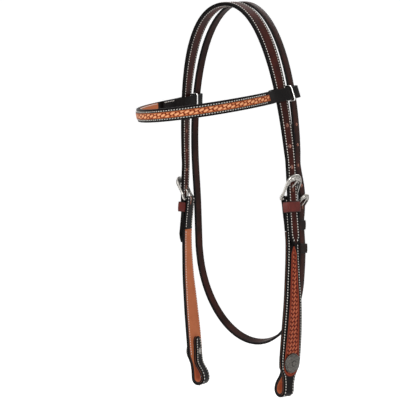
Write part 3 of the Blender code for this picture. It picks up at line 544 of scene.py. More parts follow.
def crown_half():
    """Places of the near half of the crown piece, each with the way across, the width and the skive."""
    leg = Vector((crown_leg_span, crown_leg_rear, -crown_leg_drop))
    ply_top = tan_layer / math.cos(surface_lean)
    arch = (Vector((0, 0, ply_top)), Vector((crown_shoulder, 0, ply_top)),
            leg + Vector((-crown_leg_flare, -crown_leg_sweep, crown_leg_rise)), leg)
    found = []
    shares = steps(0, 1, path_step / (crown_leg_drop + crown_leg_span))
    for share in shares[:-1]:
        place = bezier(arch, share)
        across = arch_across((bezier(arch, share + shares[1] / 2) - place).normalized())
        width = poll_width * read_shares(crown_width_shares, share)
        found.append((place, across, width, billet_skive * max(0, 2 * share - 1)))
    stops = [bezier(arch, shares[-2]), leg, cheek_bar.point(billet_bar_out, 0, -billet_start_forward / 2),
             cheek_bar.point(billet_foot_out(), -keeper_top_drop - keeper_length),
             cheek_bar.point(billet_tip_out, -billet_tip_drop)]
    path = smooth_path(stops, 2 * fine_step)
    tip = path[-1]
    for place in path[next(i for i, place in enumerate(path) if place.z < leg.z + seat_gap):]:
        left = (tip - place).length
        width = crown_billet_width
        if left < billet_point:
            width = point_width + (width - point_width) * left / billet_point
        share = min(1, (leg.z - place.z) / (leg.z - cheek_bar.place.z))
        across = arch_across(-up) * (1 - share) + cheek_bar.across * share
        found.append((place, across, width, billet_skive))
    return found


def crown_strap(low, high):
    """One ply from the off tip to the near tip. Its far face comes in with the skive."""
    near = crown_half()
    whole = [(mirrored(place), mirrored(across), width, skive)
             for place, across, width, skive in near[:0:-1]] + near
    return Strap(refined([Station(place, across, width, low + (skive if low < -seat_gap else 0),
                                  high - (skive if high > seat_gap else 0))
                          for place, across, width, skive in whole]))


def creased(swell, lines):
    """The relief of a plain strap: its middle swells, and lines are pressed in along both edges.

    The swell is (height, inset where it starts, inset where it is full). A line is (depth, inset, reach).
    """
    height, start, full = swell

    def relief(distance, v, half):
        inset = half - abs(v)
        sunk = sum(depth * hump(inset, middle, reach) for depth, middle, reach in lines)
        return height * smoothstep(start, full, inset) - sunk, 1

    return relief


def punched(place, out, reach, radius, face):
    """A round punch through a strap, with a slightly crushed mouth on the outer face."""
    profile = ((-reach, radius), (face - hole_flare, radius), (face, radius + hole_flare),
               (reach, radius + hole_flare))
    return turned(place, out, profile)


def crown_holes(face):
    """The punched holes of the near billet, and the long one where the tongue slants through."""
    near = crown_half()
    found = []
    reach = 4 * dark_layer
    for k in range(holes_above + 1):
        height = tongue_hole_up + k * hole_pitch - bar_drop
        i = min(range(len(near)), key=lambda n: abs(near[n][0].z - height))
        place, across = near[i][0], near[i][1]
        along = (near[i + 1][0] - near[i - 1][0]).normalized()
        out = along.cross(across).normalized()
        place = place + along * ((place.z - height) / -along.z)
        if k:
            found.append(punched(place, out, reach, hole_radius, face))
        else:
            window = (outer_ply + inner_ply + 3 * seat_gap) / 2 + tongue_play
            long = 2 * (window + 2 * tongue_radius + seat_gap)
            sizes = (2 * reach, 2 * (tongue_radius + tongue_play), long)
            found.append(box(place, (out, across, along), sizes))
    return found


def bridle_leather(name, face, shade, rim, rim_from, rim_to, gloss, coat=0.01):
    """Smooth dyed leather with grain and pores, burnished towards its edges."""
    finish = new_finish(name)
    inset, _ = finish.map_pair("rim")
    cloud = finish.noise(45, 4)
    pores = finish.cells(1500)
    colour = finish.mixed(cloud.ramp(0.35, 0.7), shade, face)
    colour = finish.mixed((inset + (cloud - 0.5) * 0.0012).ramp(rim_from, rim_to), rim, colour)
    colour = finish.mixed(pores.ramp(0.0, 0.3) * 0.35 + 0.65, (0.004, 0.003, 0.003), colour)
    finish.drive(Base_Color=colour, Roughness=cloud * 0.2 + pores * 0.1 + (gloss - 0.12))
    finish.drive(Specular_IOR_Level=0.06, Coat_Weight=coat, Coat_Roughness=0.12)
    finish.bump(pores * 0.5 + finish.noise(700, 2) * 0.5, 0.35, 0.00012)
    return finish.material


def raw_leather(name):
    """The pale pinkish fibres where a punch has gone through the leather."""
    finish = new_finish(name)
    fibre = finish.noise(1500, 4)
    finish.drive(Base_Color=finish.mixed(fibre, (0.30, 0.11, 0.075), (0.62, 0.33, 0.25)), Roughness=0.85)
    finish.bump(fibre, 0.4, 0.0002)
    return finish.material


def waxed_thread(name, pale, dark):
    """Twisted thread: fine slanting bands, greyer in the turns as painted shade in their grooves."""
    finish = new_finish(name)
    twist = finish.node("ShaderNodeTexWave", {"bands_direction": "DIAGONAL"},
                        {"Vector": finish.place, "Scale": 700, "Distortion": 1.5})
    soil = finish.noise(180, 3)
    # The twist darkens its grooves as painted shade; the soil noise adds grey patches.
    finish.drive(Base_Color=finish.mixed(twist * 0.4 + soil * 0.6, dark, pale), Roughness=0.6)
    finish.bump(twist, 0.3, 0.0001)
    return finish.material


white_thread = waxed_thread("white_waxed_thread", (0.92, 0.88, 0.82), (0.58, 0.54, 0.49))
punch_wall = raw_leather("punched_leather")
crown_leather = bridle_leather("crown_leather", (0.070, 0.015, 0.010), (0.030, 0.008, 0.006),
                               (0.005, 0.004, 0.004), 0.0024, 0.0036, 0.42)
crown_relief = creased((0.0002, crown_stitch_inset, crown_stitch_inset + 0.003),
                       ((0.0002, 0.0014, 0.0003), (0.0002, crown_stitch_inset, 0.0006)))
outer_crown = crown_strap(seat_gap / 2, seat_gap / 2 + dark_layer)
inner_crown = crown_strap(-seat_gap / 2 - tan_layer, -seat_gap / 2)
for name, node, strap, relief, face in (
        ("crown_outer_ply", "crown_strap", outer_crown, crown_relief, outer_ply),
        ("crown_inner_ply", "crown_lining", inner_crown, None, 3 * dark_layer)):
    piece = strap_piece(name, strap, (crown_leather, punch_wall), relief=relief, spans=26)
    cut(piece, [on_side(hole, side) for hole in crown_holes(face) for side in (1, -1)])
    place_piece(piece, "head_straps", node)


def sewn(name, body, seams, side=1):
    place_piece(add_mesh(name, gathered(seams), (white_thread,), side), body)


sewn("crown_stitches", "head_straps", [
    seam(strap, crown_seam_margin, outer_crown.distances[-1] - crown_seam_margin, crown_stitch_inset, face)
    for strap, face in ((outer_crown, 1), (inner_crown, -1))])


# Throatlatch. One long plain strap of the same dark leather, with creased black edges. It comes up
# from the near billet over the poll, down the off side, under the throat and up to its own buckle,
# where its end is skived, folded round the heel bar and sewn down.
throat_width = 0.013
throat_layer = 0.003
throat_leg_span = 0.0849
throat_leg_drop = 0.2076
throat_poll_rise = 0.0079
throat_poll_rear = 0.0288
throat_leg_rear = 0.0396
throat_shoulder = 0.0563
throat_leg_rise = 0.1157
throat_leg_flare = 0.0039
throat_leg_sweep = 0.0057
throat_poll_sweep = 0.0017
loop_half_span = 0.0855
off_leg_rear = 0.0442
loop_side_drop = 0.3276
loop_side_rear = 0.0494
loop_bottom_drop = 0.4434
loop_bottom_rear = 0.067
loop_lean = math.radians(22)
quarter_round_share = 0.5523
throat_bar_drop = 0.2676
throat_bar = Bar(0.0805, 0.0468, throat_bar_drop, 0)
throat_bar_radius = 0.0012
throat_chape_layer = 0.0022
throat_buckle_height = 0.027
throat_tongue_radius = 0.0009
throat_tongue_up = 0.0075
throat_chape_end = 0.030
throat_billet_bar_out = 0.0059
throat_tip_drop = 0.0915
throat_tip_out = 0.0046
throat_leg_out = 0.0028
throat_drift = 0.0010
throat_hole_pitch = 0.026
throat_hole_radius = 0.0015
throat_holes_above = 4
fixed_keeper_drop = 0.011
throat_keeper_length = 0.012
sliding_keeper_drop = 0.041
wrap_spans = 12
throat_stitch_inset = 0.0022
chape_seam_start = 0.005
chape_seam_end = 0.0015


def throat_near_leg():
    """The main ply of the throatlatch below its bar, as (drop, distance out) pairs."""
    wrap = throat_bar_radius + seat_gap + throat_chape_layer / 2
    flat = (seat_gap + throat_layer) / 2
    return ((0, wrap), (fixed_keeper_drop - seat_gap, flat),
            (loop_side_drop - throat_bar_drop, throat_leg_out))


def throat_top_path():
    """The middle of the throatlatch from the billet's tip over the poll and down the off leg."""
    bar = throat_bar
    flat = (seat_gap + throat_layer) / 2
    on_strap = flat + throat_layer + seat_gap
    foot = fixed_keeper_drop + throat_keeper_length
    slide_foot = sliding_keeper_drop + throat_keeper_length
    leg = Vector((throat_leg_span, throat_leg_rear, -throat_leg_drop))
    crest = Vector((0, throat_poll_rear, throat_poll_rise))
    arch = (crest, crest + Vector((throat_shoulder, -throat_poll_sweep, 0)),
            leg + Vector((throat_leg_flare, -throat_leg_sweep, throat_leg_rise)), leg)
    stops = [bar.point(throat_tip_out + seat_gap, -throat_tip_drop),
             bar.point(on_strap + throat_leg_out / 2, -slide_foot, throat_drift),
             bar.point(on_strap, -foot, throat_drift / 2),
             bar.point(on_strap, -fixed_keeper_drop),
             bar.point(throat_billet_bar_out, 0),
             bar.point(throat_billet_bar_out, throat_buckle_height)]
    shares = steps(0, 1, path_step / throat_leg_drop)
    near_arch = [bezier(arch, share) for share in reversed(shares)]
    return smooth_path(stops + near_arch + [mirrored(bezier(arch, share)) for share in shares[1:]])


def throat_path():
    """The whole throatlatch, from the billet's tip to the end of the chape, as (place, thickness) pairs."""
    bar = throat_bar
    path = throat_top_path()
    half = loop_half_span
    bottom = Vector((0, loop_bottom_rear, -loop_bottom_drop))
    low_handle = (loop_bottom_drop - loop_side_drop) * quarter_round_share
    lean_handle = (loop_bottom_rear - loop_side_rear) * quarter_round_share
    flat_handle = Vector((half * quarter_round_share, 0, 0))
    off_side = Vector((-half, loop_side_rear, -loop_side_drop))
    near_side = bar.point(throat_leg_out, throat_bar_drop - loop_side_drop, loop_side_rear - bar.base.y)
    down = Vector((0, lean_handle, -low_handle))
    off_buckle = Vector((-half, off_leg_rear, -bar_drop))
    low_side = off_side - down.normalized() * path_step
    run = smooth_path([path[-2], path[-1], off_buckle, low_side, off_side])
    run = run[next(i for i, place in enumerate(run) if place.z < path[-1].z - seat_gap):]
    quarter = steps(0, 1, path_step / (2 * half))[1:]
    run += [bezier((off_side, off_side + down, bottom - flat_handle, bottom), share) for share in quarter]
    run += [bezier((bottom, bottom + flat_handle, near_side + down, near_side), share) for share in quarter]
    leg_top = [bar.point(between(throat_near_leg(), low), -low, throat_drift * low / sliding_keeper_drop)
               for low in steps(sliding_keeper_drop + throat_keeper_length, fine_step, 2 * fine_step)]
    run.append((near_side + leg_top[0]) / 2)
    wrap = throat_bar_radius + seat_gap + throat_chape_layer / 2
    chape = arc(bar.place, bar.out, up, wrap, 0, math.pi, wrap_spans)
    folded = (seat_gap + throat_chape_layer) / 2
    fold = ((0, wrap), (fixed_keeper_drop - seat_gap, folded), (throat_chape_end, folded))
    chape += [bar.point(-between(fold, low), -low, throat_drift * low / sliding_keeper_drop)
              for low in steps(fine_step, throat_chape_end, 2 * fine_step)]
    pairs = [(place, throat_layer) for place in path + run]
    for place in leg_top:
        share = min(1, (bar.place.z - place.z) / fixed_keeper_drop)
        pairs.append((place, throat_chape_layer + (throat_layer - throat_chape_layer) * share))
    return pairs + [(place, throat_chape_layer) for place in chape]


def throat_across(place):
    """Across the throatlatch: level on the legs, leaning at the poll and under the throat."""
    if place.z > -throat_leg_drop:
        share = min(1, abs(place.x) / throat_leg_span)
        turn = surface_lean * math.sqrt(max(0, 1 - share**2))
    else:
        turn = loop_lean * max(0, (-place.z - loop_side_drop) / (loop_bottom_drop - loop_side_drop))
    return rearward * -math.cos(turn) - up * math.sin(turn)


throat_stations = refined([Station(place, throat_across(place), throat_width, -thick / 2, thick / 2)
                           for place, thick in throat_path()])
for station in throat_stations:
    left = (station.place - throat_stations[0].place).length
    if left < throat_width / 2:
        round_tip = throat_width * math.sqrt(max(0, 1 - (1 - 2 * left / throat_width) ** 2))
        station.width = max(point_width, round_tip)
throat_strap = Strap(throat_stations)
throat_relief = creased((0.00025, 0.0010, 0.004), ((0.00025, 0.0016, 0.0004),))
throat_leather = bridle_leather("throat_leather", (0.052, 0.016, 0.012), (0.022, 0.008, 0.006),
                                (0.0075, 0.006, 0.006), 0.0011, 0.0024, 0.40)
throat_piece = strap_piece("throatlatch_leather", throat_strap, (throat_leather, punch_wall),
                           relief=throat_relief, spans=20)
tongue_room = 2 * (throat_tongue_radius + tongue_play)
wrap_reach = throat_bar_radius + seat_gap + throat_chape_layer
throat_cuts = [box(throat_bar.place, (throat_bar.out, throat_bar.across, up),
                   (2 * wrap_reach + seat_gap, tongue_room, 4 * wrap_reach))]
near_throat = [place for place in throat_top_path() if place.x > 0]
for k in range(throat_holes_above + 1):
    height = throat_tongue_up + k * throat_hole_pitch - throat_bar_drop
    i = min(range(1, len(near_throat) - 1), key=lambda n: abs(near_throat[n].z - height))
    along = (near_throat[i + 1] - near_throat[i - 1]).normalized()
    across = (rearward - along * along.y).normalized()
    place = near_throat[i] + along * ((height - near_throat[i].z) / along.z)
    out = across.cross(along)
    if k:
        throat_cuts.append(punched(place, out, throat_layer, throat_hole_radius, throat_layer / 2))
    else:
        long = throat_layer + 4 * throat_tongue_radius + 2 * tongue_play
        throat_cuts.append(box(place, (out, across, along), (2 * throat_layer, tongue_room, long)))
for throat_cut in throat_cuts:
    cut(throat_piece, [throat_cut])
place_piece(throat_piece, "head_straps", "throatlatch_strap")
throat_end = throat_strap.distances[-1]
sewn("throat_chape_stitches", "head_straps", [
    seam(throat_strap, throat_end - throat_chape_end + chape_seam_start, throat_end - chape_seam_end,
         throat_stitch_inset, 1)])


# Throatlatch keepers. Two bands of thinner black-brown leather. The upper one is caught in the sewn
# chape and the lower one slides along the strap and holds the end of the billet.
def rounded_oblong(centre, across, out, half, faces, corner, spans):
    """A closed path round an oblong. The half width and the faces are those of its corners' centres."""
    low, high = faces
    path = []
    for quarter, (a, b) in enumerate(((half, high), (-half, high), (-half, low), (half, low))):
        start = quarter * math.pi / 2
        path += arc(centre + across * a + out * b, across, out, corner, start, start + math.pi / 2, spans)
    return path


def closed_band(centre, out, across, down, inside, width, length):
    """A flat band round a strap. Inside holds the two faces of its hole."""
    low = inside[0] + keeper_layer / 2
    high = inside[1] - keeper_layer / 2
    path = rounded_oblong(centre, across, out, width / 2 - keeper_layer / 2, (low, high), keeper_layer, 6)
    stations = [Station(place, down, length, -keeper_layer / 2, keeper_layer / 2) for place in path]
    return Strap(refined(stations, keeper_layer, True), True)


keeper_relief = creased((0.0002, 0.0015, 0.004), ((0.00022, 0.0013, 0.0003),))
keeper_round = 0.0005
throat_keeper_leather = bridle_leather("throat_keeper_leather", (0.030, 0.012, 0.009), (0.014, 0.008, 0.007),
                                       (0.007, 0.006, 0.006), 0.0006, 0.0012, 0.32)
billet_face = seat_gap * 3 / 2 + 2 * throat_layer
fixed_middle = fixed_keeper_drop + throat_keeper_length / 2
slide_middle = sliding_keeper_drop + throat_keeper_length / 2
fixed_drift_share = 0.75
fixed_drift = fixed_drift_share * throat_drift * fixed_middle / sliding_keeper_drop
slide_play = 0.0007
for name, body, node, middle, inside, width in (
        ("throat_upper_keeper", "head_straps", "throat_fixed_keeper", (-fixed_middle, fixed_drift),
         (-1.5 * seat_gap - throat_chape_layer, billet_face + seat_gap), throat_width + 3 * seat_gap),
        ("throat_lower_keeper", "throat_slider", "throat_sliding_keeper", (-slide_middle, throat_drift),
         (seat_gap / 2 - slide_play, billet_face + throat_leg_out / 2 + slide_play),
         throat_width + 2 * slide_play)):
    band = closed_band(throat_bar.point(0, *middle), throat_bar.out, throat_bar.across, -up, inside, width,
                       throat_keeper_length)
    piece = strap_piece(name, band, (throat_keeper_leather,), 1, keeper_relief, 16, keeper_round)
    place_piece(piece, body, node)


# Buckles. Each frame is cast with two swelling rails, a domed toe and a round heel bar, and its face
# is engraved with plain scrolls that hold dark antiquing. A wire tongue curls round the bar, comes
# out through the billet's hole and rests on the toe. This section sets the throatlatch's buckle.
throat_sizes = (0.0073, 0.0105, throat_buckle_height, 0.0012, 0.0028, throat_bar_radius)
throat_tilt = math.radians(33)
frame_shares = ((1.0, -0.055, 0.88, -0.055, 0.40), (1.0, 0.03, 1.0, 0.06, 0.45),
                (1.0, 0.20, 0.87, 0.24, 0.50), (1.0, 0.38, 0.83, 0.50, 0.55),
                (0.96, 0.56, 0.79, 0.72, 0.75), (0.78, 0.67, 0.62, 0.88, 0.92),
                (0.42, 0.71, 0.33, 0.98, 1.0), (0.0, 0.72, 0.0, 1.0, 1.0))
crest_shares = ((0.0, 0.2), (0.2, 0.75), (0.45, 1.0), (0.75, 0.8), (1.0, 0.2))
crest_spans = 18
scroll_length = 0.0052
scroll_depth = 0.00022
scroll_least = 0.001
casting_round = 0.0004
tongue_wrap = (math.radians(130), math.radians(380))
tongue_spans = 17
tongue_step = 0.0012
wire_spans = 14


def scroll(s, t):
    """How deep the engraver's line is at a point of a running scroll: 1 in its middle, 0 beside it."""
    cell = math.floor(s)
    x = s - cell - 0.5
    y = (t - 0.5) * (1 if cell % 2 else -1)
    reach = math.hypot(x, y)
    coil = (reach * 4.2 - math.atan2(y, x) / math.tau) % 1
    line = hump(coil, 0.5, 0.15) * smoothstep(0.03, 0.10, reach) * (1 - smoothstep(0.44, 0.52, reach))
    leaf = hump(abs(y) - 0.36 * math.cos(math.pi * x) ** 2, 0.08, 0.035)
    return min(1, line + leaf * 0.8)


def buckle_axes(bar, tilt):
    """Up along a buckle's face, and out of it."""
    return (up * math.cos(tilt) + bar.out * math.sin(tilt),
            bar.out * math.cos(tilt) - up * math.sin(tilt))


def blended(rows, count):
    """Rows of numbers with smooth ones set between them."""
    found = []
    last = len(rows) - 1
    for i in range(last):
        before, a, b, after = rows[max(i - 1, 0)], rows[i], rows[i + 1], rows[min(i + 2, last)]
        found += [[eased(k / count, q, r, (r - p) / 2, (w - q) / 2)
                   for p, q, r, w in zip(before, a, b, after)] for k in range(count)]
    return found + [list(rows[last])]


def buckle_frame(name, bar, tilt, sizes, finish, side):
    """A cast frame and its bar.

    The sizes are half the width inside and over the wings, the height, the depth behind, the height
    of the crest and the radius of the bar.
    """
    inner_half, wing_half, height, back, crest, radius = sizes
    rise, face = buckle_axes(bar, tilt)
    halves = list(frame_shares) + [(-a, b, -c, d, e) for a, b, c, d, e in frame_shares[-2::-1]]
    rings, lay, rim = [], [], []
    walked = 0
    middle = None
    for inner_wide, inner_high, outer_wide, outer_high, swell in blended(halves, 12):
        inner = bar.place + bar.across * (inner_wide * inner_half) + rise * (inner_high * height)
        outer = bar.place + bar.across * (outer_wide * wing_half) + rise * (outer_high * height)
        centre = (inner + outer) / 2
        walked += (centre - middle).length if middle else 0
        middle = centre
        broad = (outer - inner).length
        soft = min(casting_round, broad / 8)
        lip = (outer - inner).normalized() * soft
        ring = [(inner + lip - face * back, 0, 0.4), (outer - lip - face * back, 0, 0.4),
                (outer - face * (back - soft), 0, 0.6)]
        for k in range(crest_spans + 1):
            share = 1 - k / crest_spans
            line = scroll(walked / scroll_length, share) if broad > scroll_least else 0
            line = max(line * smoothstep(0.06, 0.14, share) * (1 - smoothstep(0.84, 0.92, share)),
                       hump(share, 0.08, 0.025), hump(share, 0.90, 0.025))
            rise_here = crest * swell * read_shares(crest_shares, share) - scroll_depth * line
            ring.append((inner + (outer - inner) * share + face * rise_here, share, 1 - line))
        ring.append((inner - face * (back - soft), 0, 0.6))
        rings.append([point for point, _, _ in ring])
        lay += [(walked, share * broad) for _, share, _ in ring]
        rim += [(share * broad, tone) for _, share, tone in ring]
    reach = (inner_half + wing_half) / 2
    heel = turned(bar.place - bar.across * reach, bar.across, ((0, radius), (2 * reach, radius)))
    pairs = [(0, 0.7)] * len(heel[0])
    maps = {"lay": lay + pairs, "rim": rim + pairs}
    return add_mesh(name, gathered((loft(rings), heel)), (finish,), side, maps)


def tongue_line(bar, tilt, sizes, thick, billet, hole_up):
    """Round the bar, up inside the billet, out through its hole and on to the toe."""
    height, _, crest, radius = sizes[2:]
    billet_in, billet_out = billet
    rise, face = buckle_axes(bar, tilt)
    line = arc(bar.place, bar.out, up, radius + seat_gap + thick, *tongue_wrap, tongue_spans)
    inside = billet_in - thick - 2 * seat_gap
    outside = billet_out + thick + 2 * seat_gap
    lean = (outside - inside) / 2
    middle = (inside + outside) / 2
    stops = [line[-1]]
    for out, rung in ((inside, hole_up - 2 * lean), (inside, hole_up - lean), (middle, hole_up),
                      (outside, hole_up + lean)):
        stops.append(bar.point(out, rung, -bar.forward))
    toe = frame_shares[-1][1] * height
    for past, share in ((0, 0.5), (0.08 * height, 0.9)):
        stops.append(bar.place + rise * (toe + past) + face * (crest * share + thick + seat_gap))
    return line + smooth_path(stops, tongue_step)[1:]


def wire_piece(name, points, radii, across, finish, side, tone, closed=False):
    """A round wire through the points."""
    strap = Strap([Station(point, across, 0, 0, 0) for point in points], closed)
    rings = [arc(point, way, out, radius, 0, math.tau, wire_spans)[:-1]
             for point, radius, (_, way, out) in zip(points, radii, strap.frames)]
    pairs = [(0, tone)] * (len(rings) * wire_spans)
    return add_mesh(name, loft(rings, closed), (finish,), side, {"lay": pairs, "rim": pairs})


def tongue_piece(name, line, thick, across, finish, side):
    """The tongue's wire, rounded off at both ends."""
    last = len(line) - 1
    radii = [thick * math.sqrt(min(1, 0.25 + min(k, last - k) * 0.45)) for k in range(last + 1)]
    return wire_piece(name, line, radii, across, finish, side, 0.85)


def antiqued_metal(name, bright, dark, rough):
    """Plated metal with dark antiquing left in its lines and light scratches on its high places."""
    finish = new_finish(name)
    _, tone = finish.map_pair("rim")
    patina = finish.noise(260, 4)
    scratch = finish.noise(1100, 2)
    shown = (tone * 1.3 + (patina - 0.5) * 0.5 - 0.15).ramp(0.15, 0.85)
    finish.drive(Base_Color=finish.mixed(shown, dark, bright), Metallic=1.0)
    finish.drive(Roughness=(1 - shown) * 0.3 + scratch * 0.16 + rough)
    finish.bump(scratch, 0.25, 0.0001)
    return finish.material


silver = antiqued_metal("antiqued_silver", (0.44, 0.42, 0.39), (0.010, 0.009, 0.008), 0.16)
place_piece(buckle_frame("throat_buckle_silver", throat_bar, throat_tilt, throat_sizes, silver, 1),
            "throat_buckle", "throat_buckle_frame")
billet_faces = (throat_billet_bar_out - throat_layer / 2, throat_billet_bar_out + throat_layer / 2)
line = tongue_line(throat_bar, throat_tilt, throat_sizes, throat_tongue_radius, billet_faces,
                   throat_tongue_up)
place_piece(tongue_piece("throat_tongue_wire", line, throat_tongue_radius, throat_bar.across, silver, 1),
            "throat_tongue", "throat_buckle_tongue")


# Browband. A black base strap carries a panel of orange tan leather, basket stamped and dyed dark in
# its recesses, with a rough tan lining behind. Its ends fold back inside themselves to make a loop
# round the crown piece and the throatlatch on each side. White thread shows beside the panel.
band_height = 0.0158
band_drop = 0.1179
band_tilt = math.radians(12)
band_pivot_rear = 0.0213
band_span = 0.0872
band_front = 0.1395
band_start_rear = -0.009
band_start_span = 0.0832
band_outer_rear_span = 0.0860
band_inner_front_span = 0.0722
band_inner_rear_span = 0.0748
band_loop_front = 0.0005
band_loop_rear = 0.0405
band_bend_rear = 0.0448
band_fold_end = -0.036
band_stop_end = -0.010
band_leg_lean = 0.2
band_lean_end = -0.090
overlay_layer = 0.0009
overlay_border = 0.0038
border_stitch_inset = 0.0029
fold_stitch_inset = 0.0016
band_step = 0.002
seam_margin = 0.002
overlay_round = 0.0004
stamp_rise = 0.00042
stamp_sink = 0.00034
stamp_edge = (0.0011, 0.0018)
bead_height = 0.0001
bead_inset = 0.0007
bead_reach = 0.0004
tooling_step = 0.00055
weave_long = 0.0078
weave_wide = 0.0036
weave_slant = math.radians(24)
band_along = rearward * math.cos(band_tilt) + up * math.sin(band_tilt)
band_up = up * math.cos(band_tilt) - rearward * math.sin(band_tilt)
band_pivot = Vector((0, band_pivot_rear, -band_drop))


def on_band(span, rear):
    """A point of the browband's middle plane, from its distance to the side and to the rear."""
    return band_pivot + Vector((span, 0, 0)) + band_along * (rear - band_pivot_rear)


def band_across(place):
    """Up the browband's width. Near the loops it leans in like the legs it goes round."""
    share = smoothstep(band_lean_end, band_loop_front, place.y)
    return band_up - Vector((math.copysign(band_leg_lean * share, place.x), 0, 0))


def band_front_half():
    """The middle of the black layer from the near loop to the centre of the brow."""
    start = on_band(band_start_span, band_start_rear)
    crest = on_band(0, -band_front)
    reach = band_front + band_start_rear
    side = on_band(band_span + (band_span - band_start_span) * 2 / 3,
                   band_start_rear - reach * quarter_round_share)
    front = on_band(band_span * quarter_round_share, -band_front)
    shares = steps(0, 1, path_step / (2 * band_span))
    return [bezier((start, side, front, crest), share) for share in shares]


def shifted(path, distance):
    """The path moved sideways, outward when the distance is positive."""
    moved = []
    last = len(path) - 1
    for i, place in enumerate(path):
        along = (path[min(i + 1, last)] - path[max(i - 1, 0)]).normalized()
        moved.append(place + band_across(place).cross(along).normalized() * distance)
    return moved


def whole_band(half):
    """From the off end round the brow to the near end, so that the way out of the strap is outward."""
    return [mirrored(place) for place in half] + half[-2::-1]


def band_strap_half():
    front = band_front_half()
    fold = [place for place in shifted(front, -dark_layer - seat_gap) if place.y > band_fold_end][::-1]
    loop = [on_band(band_inner_front_span, band_loop_front),
            on_band(band_inner_rear_span, band_loop_rear),
            on_band((band_inner_rear_span + band_outer_rear_span) / 2, band_bend_rear),
            on_band(band_outer_rear_span, band_loop_rear)]
    drawn = smooth_path([fold[-2], fold[-1]] + loop + [front[0], front[1]], fine_step)
    start = next(i for i, place in enumerate(drawn) if (place - fold[-1]).length < seat_gap)
    end = next(i for i, place in enumerate(drawn) if (place - front[0]).length < seat_gap)
    return fold[:-1] + drawn[start:end] + front


def band_ply(end, width, low, high, step):
    """A ply along the browband, which ends level with the given place on both sides."""
    path = whole_band(band_front_half())
    stations = []
    for before, place, after in zip(path, path[1:], path[2:]):
        if place.y < end:
            along = (after - before).normalized()
            stations.append(Station(place, band_across(place), width, low, high, along))
    return Strap(refined(stations, step))


def basket(u, v, slant):
    """A basket stamp: humps of leather in slanting rows, each set half a hump past the next row's."""
    p = (u * math.cos(slant) + v * math.sin(slant)) / weave_long
    q = (v * math.cos(slant) - u * math.sin(slant)) / weave_wide
    row = math.floor(q)
    p += row % 2 / 2
    s = abs(p - math.floor(p) - 0.5) * 2
    t = abs(q - row - 0.5) * 2
    body = (1 - smoothstep(0.62, 0.98, t)) * (1 - smoothstep(0.66, 0.96, s))
    bow = 0.72 + 0.28 * (1 - s * s)
    return body * bow * (1 - 0.35 * hump(t, 0.42, 0.10))


def band_relief(distance, v, half):
    """Stamped weave inside a smooth border bead, with a plain stop at both ends."""
    inset = min(half - abs(v), distance, overlay_run - distance)
    field = smoothstep(*stamp_edge, inset)
    weave = basket(distance - overlay_run / 2, v, weave_slant)
    border = hump(inset, bead_inset, bead_reach)
    rise = (stamp_rise * weave - stamp_sink) * field + bead_height * border
    return rise, max(field * weave, border * 0.75)


def tooled_leather(name, recess, low, high, rubbed_pale_highlight):
    """Russet leather with dark red dye left in the stamped recesses and rubbed off the high places, which
    also carry a painted highlight.
    """
    finish = new_finish(name)
    inset, tone = finish.map_pair("rim")
    cloud = finish.noise(60, 4)
    pores = finish.cells(1400)
    # Towards the crests the colour runs pale: rubbed-off dye, with a painted highlight on top.
    wear_and_highlight = (tone + (cloud - 0.5) * 0.35).ramp(0.05, 1.0)
    colour = finish.node("ShaderNodeValToRGB", {"stops": (
        (0.0, recess), (0.35, low), (0.72, high), (1.0, rubbed_pale_highlight))}, {0: wear_and_highlight})
    colour = finish.mixed(pores.ramp(0.0, 0.3) * 0.2 + 0.8, recess, colour)
    colour = finish.mixed(inset.ramp(0.0003, 0.0009), (0.012, 0.007, 0.006), colour)
    finish.drive(Base_Color=colour, Roughness=(1 - wear_and_highlight) * 0.16 + cloud * 0.12 + 0.32)
    finish.drive(Specular_IOR_Level=0.12, Coat_Weight=0.02, Coat_Roughness=0.25)
    finish.bump(pores * 0.5 + finish.noise(800, 3) * 0.5, 0.3, 0.00012)
    return finish.material


def rough_leather(name):
    """Unfinished tan leather, flesh side out: matted fibres, paler and darker in patches."""
    finish = new_finish(name)
    inset, _ = finish.map_pair("rim")
    fibre = finish.noise(900, 5, rough=0.7)
    patch = finish.noise(70, 3)
    colour = finish.mixed(fibre * 0.6 + patch * 0.4, (0.40, 0.096, 0.035), (0.78, 0.26, 0.11))
    edge = (inset + (patch - 0.5) * 0.0004).ramp(0.0002, 0.0008)
    colour = finish.mixed(edge, (0.010, 0.008, 0.008), colour)
    finish.drive(Base_Color=colour, Roughness=fibre * 0.15 + 0.75, Specular_IOR_Level=0.25)
    finish.bump(fibre, 0.6, 0.0003)
    return finish.material


black_leather = bridle_leather("black_leather", (0.009, 0.007, 0.0065), (0.005, 0.004, 0.004),
                               (0.003, 0.0025, 0.0025), 0.0002, 0.0007, 0.38)
tooled = tooled_leather("tooled_orange_leather", (0.13, 0.016, 0.004), (0.40, 0.066, 0.014),
                        (0.68, 0.19, 0.045), (0.92, 0.46, 0.24))
rough_tan = rough_leather("rough_tan_leather")
half_layer = dark_layer / 2
band_strap = Strap(refined([Station(place, band_across(place), band_height, -half_layer, half_layer)
                            for place in whole_band(band_strap_half())], band_step))
overlay_low = half_layer + seat_gap
band_overlay = band_ply(band_stop_end, band_height - 2 * overlay_border, overlay_low,
                        overlay_low + overlay_layer, tooling_step)
overlay_run = band_overlay.distances[-1]
band_lining = band_ply(band_fold_end - fine_step, band_height, -half_layer - seat_gap - tan_layer,
                       -half_layer - seat_gap, mesh_step)
for name, node, slot, strap, finish, relief, spans, rounding in (
        ("browband_base", "browband_strap", "black_leather", band_strap, black_leather, None, 10,
         rim_round),
        ("browband_panel", "browband_overlay", "tooled_leather", band_overlay, tooled, band_relief, 30,
         overlay_round),
        ("browband_backing", "browband_lining", "rough_leather", band_lining, rough_tan, None, 10,
         rim_round)):
    place_piece(strap_piece(name, strap, (finish,), 1, relief, spans, rounding), "browband", node)
band_face = band_ply(band_start_rear, band_height, -half_layer, half_layer, mesh_step)
whole_length = band_strap.distances[-1]
fold_length = band_strap.distances[
    next(i for i, station in enumerate(band_strap.stations) if station.place.y > band_stop_end)]
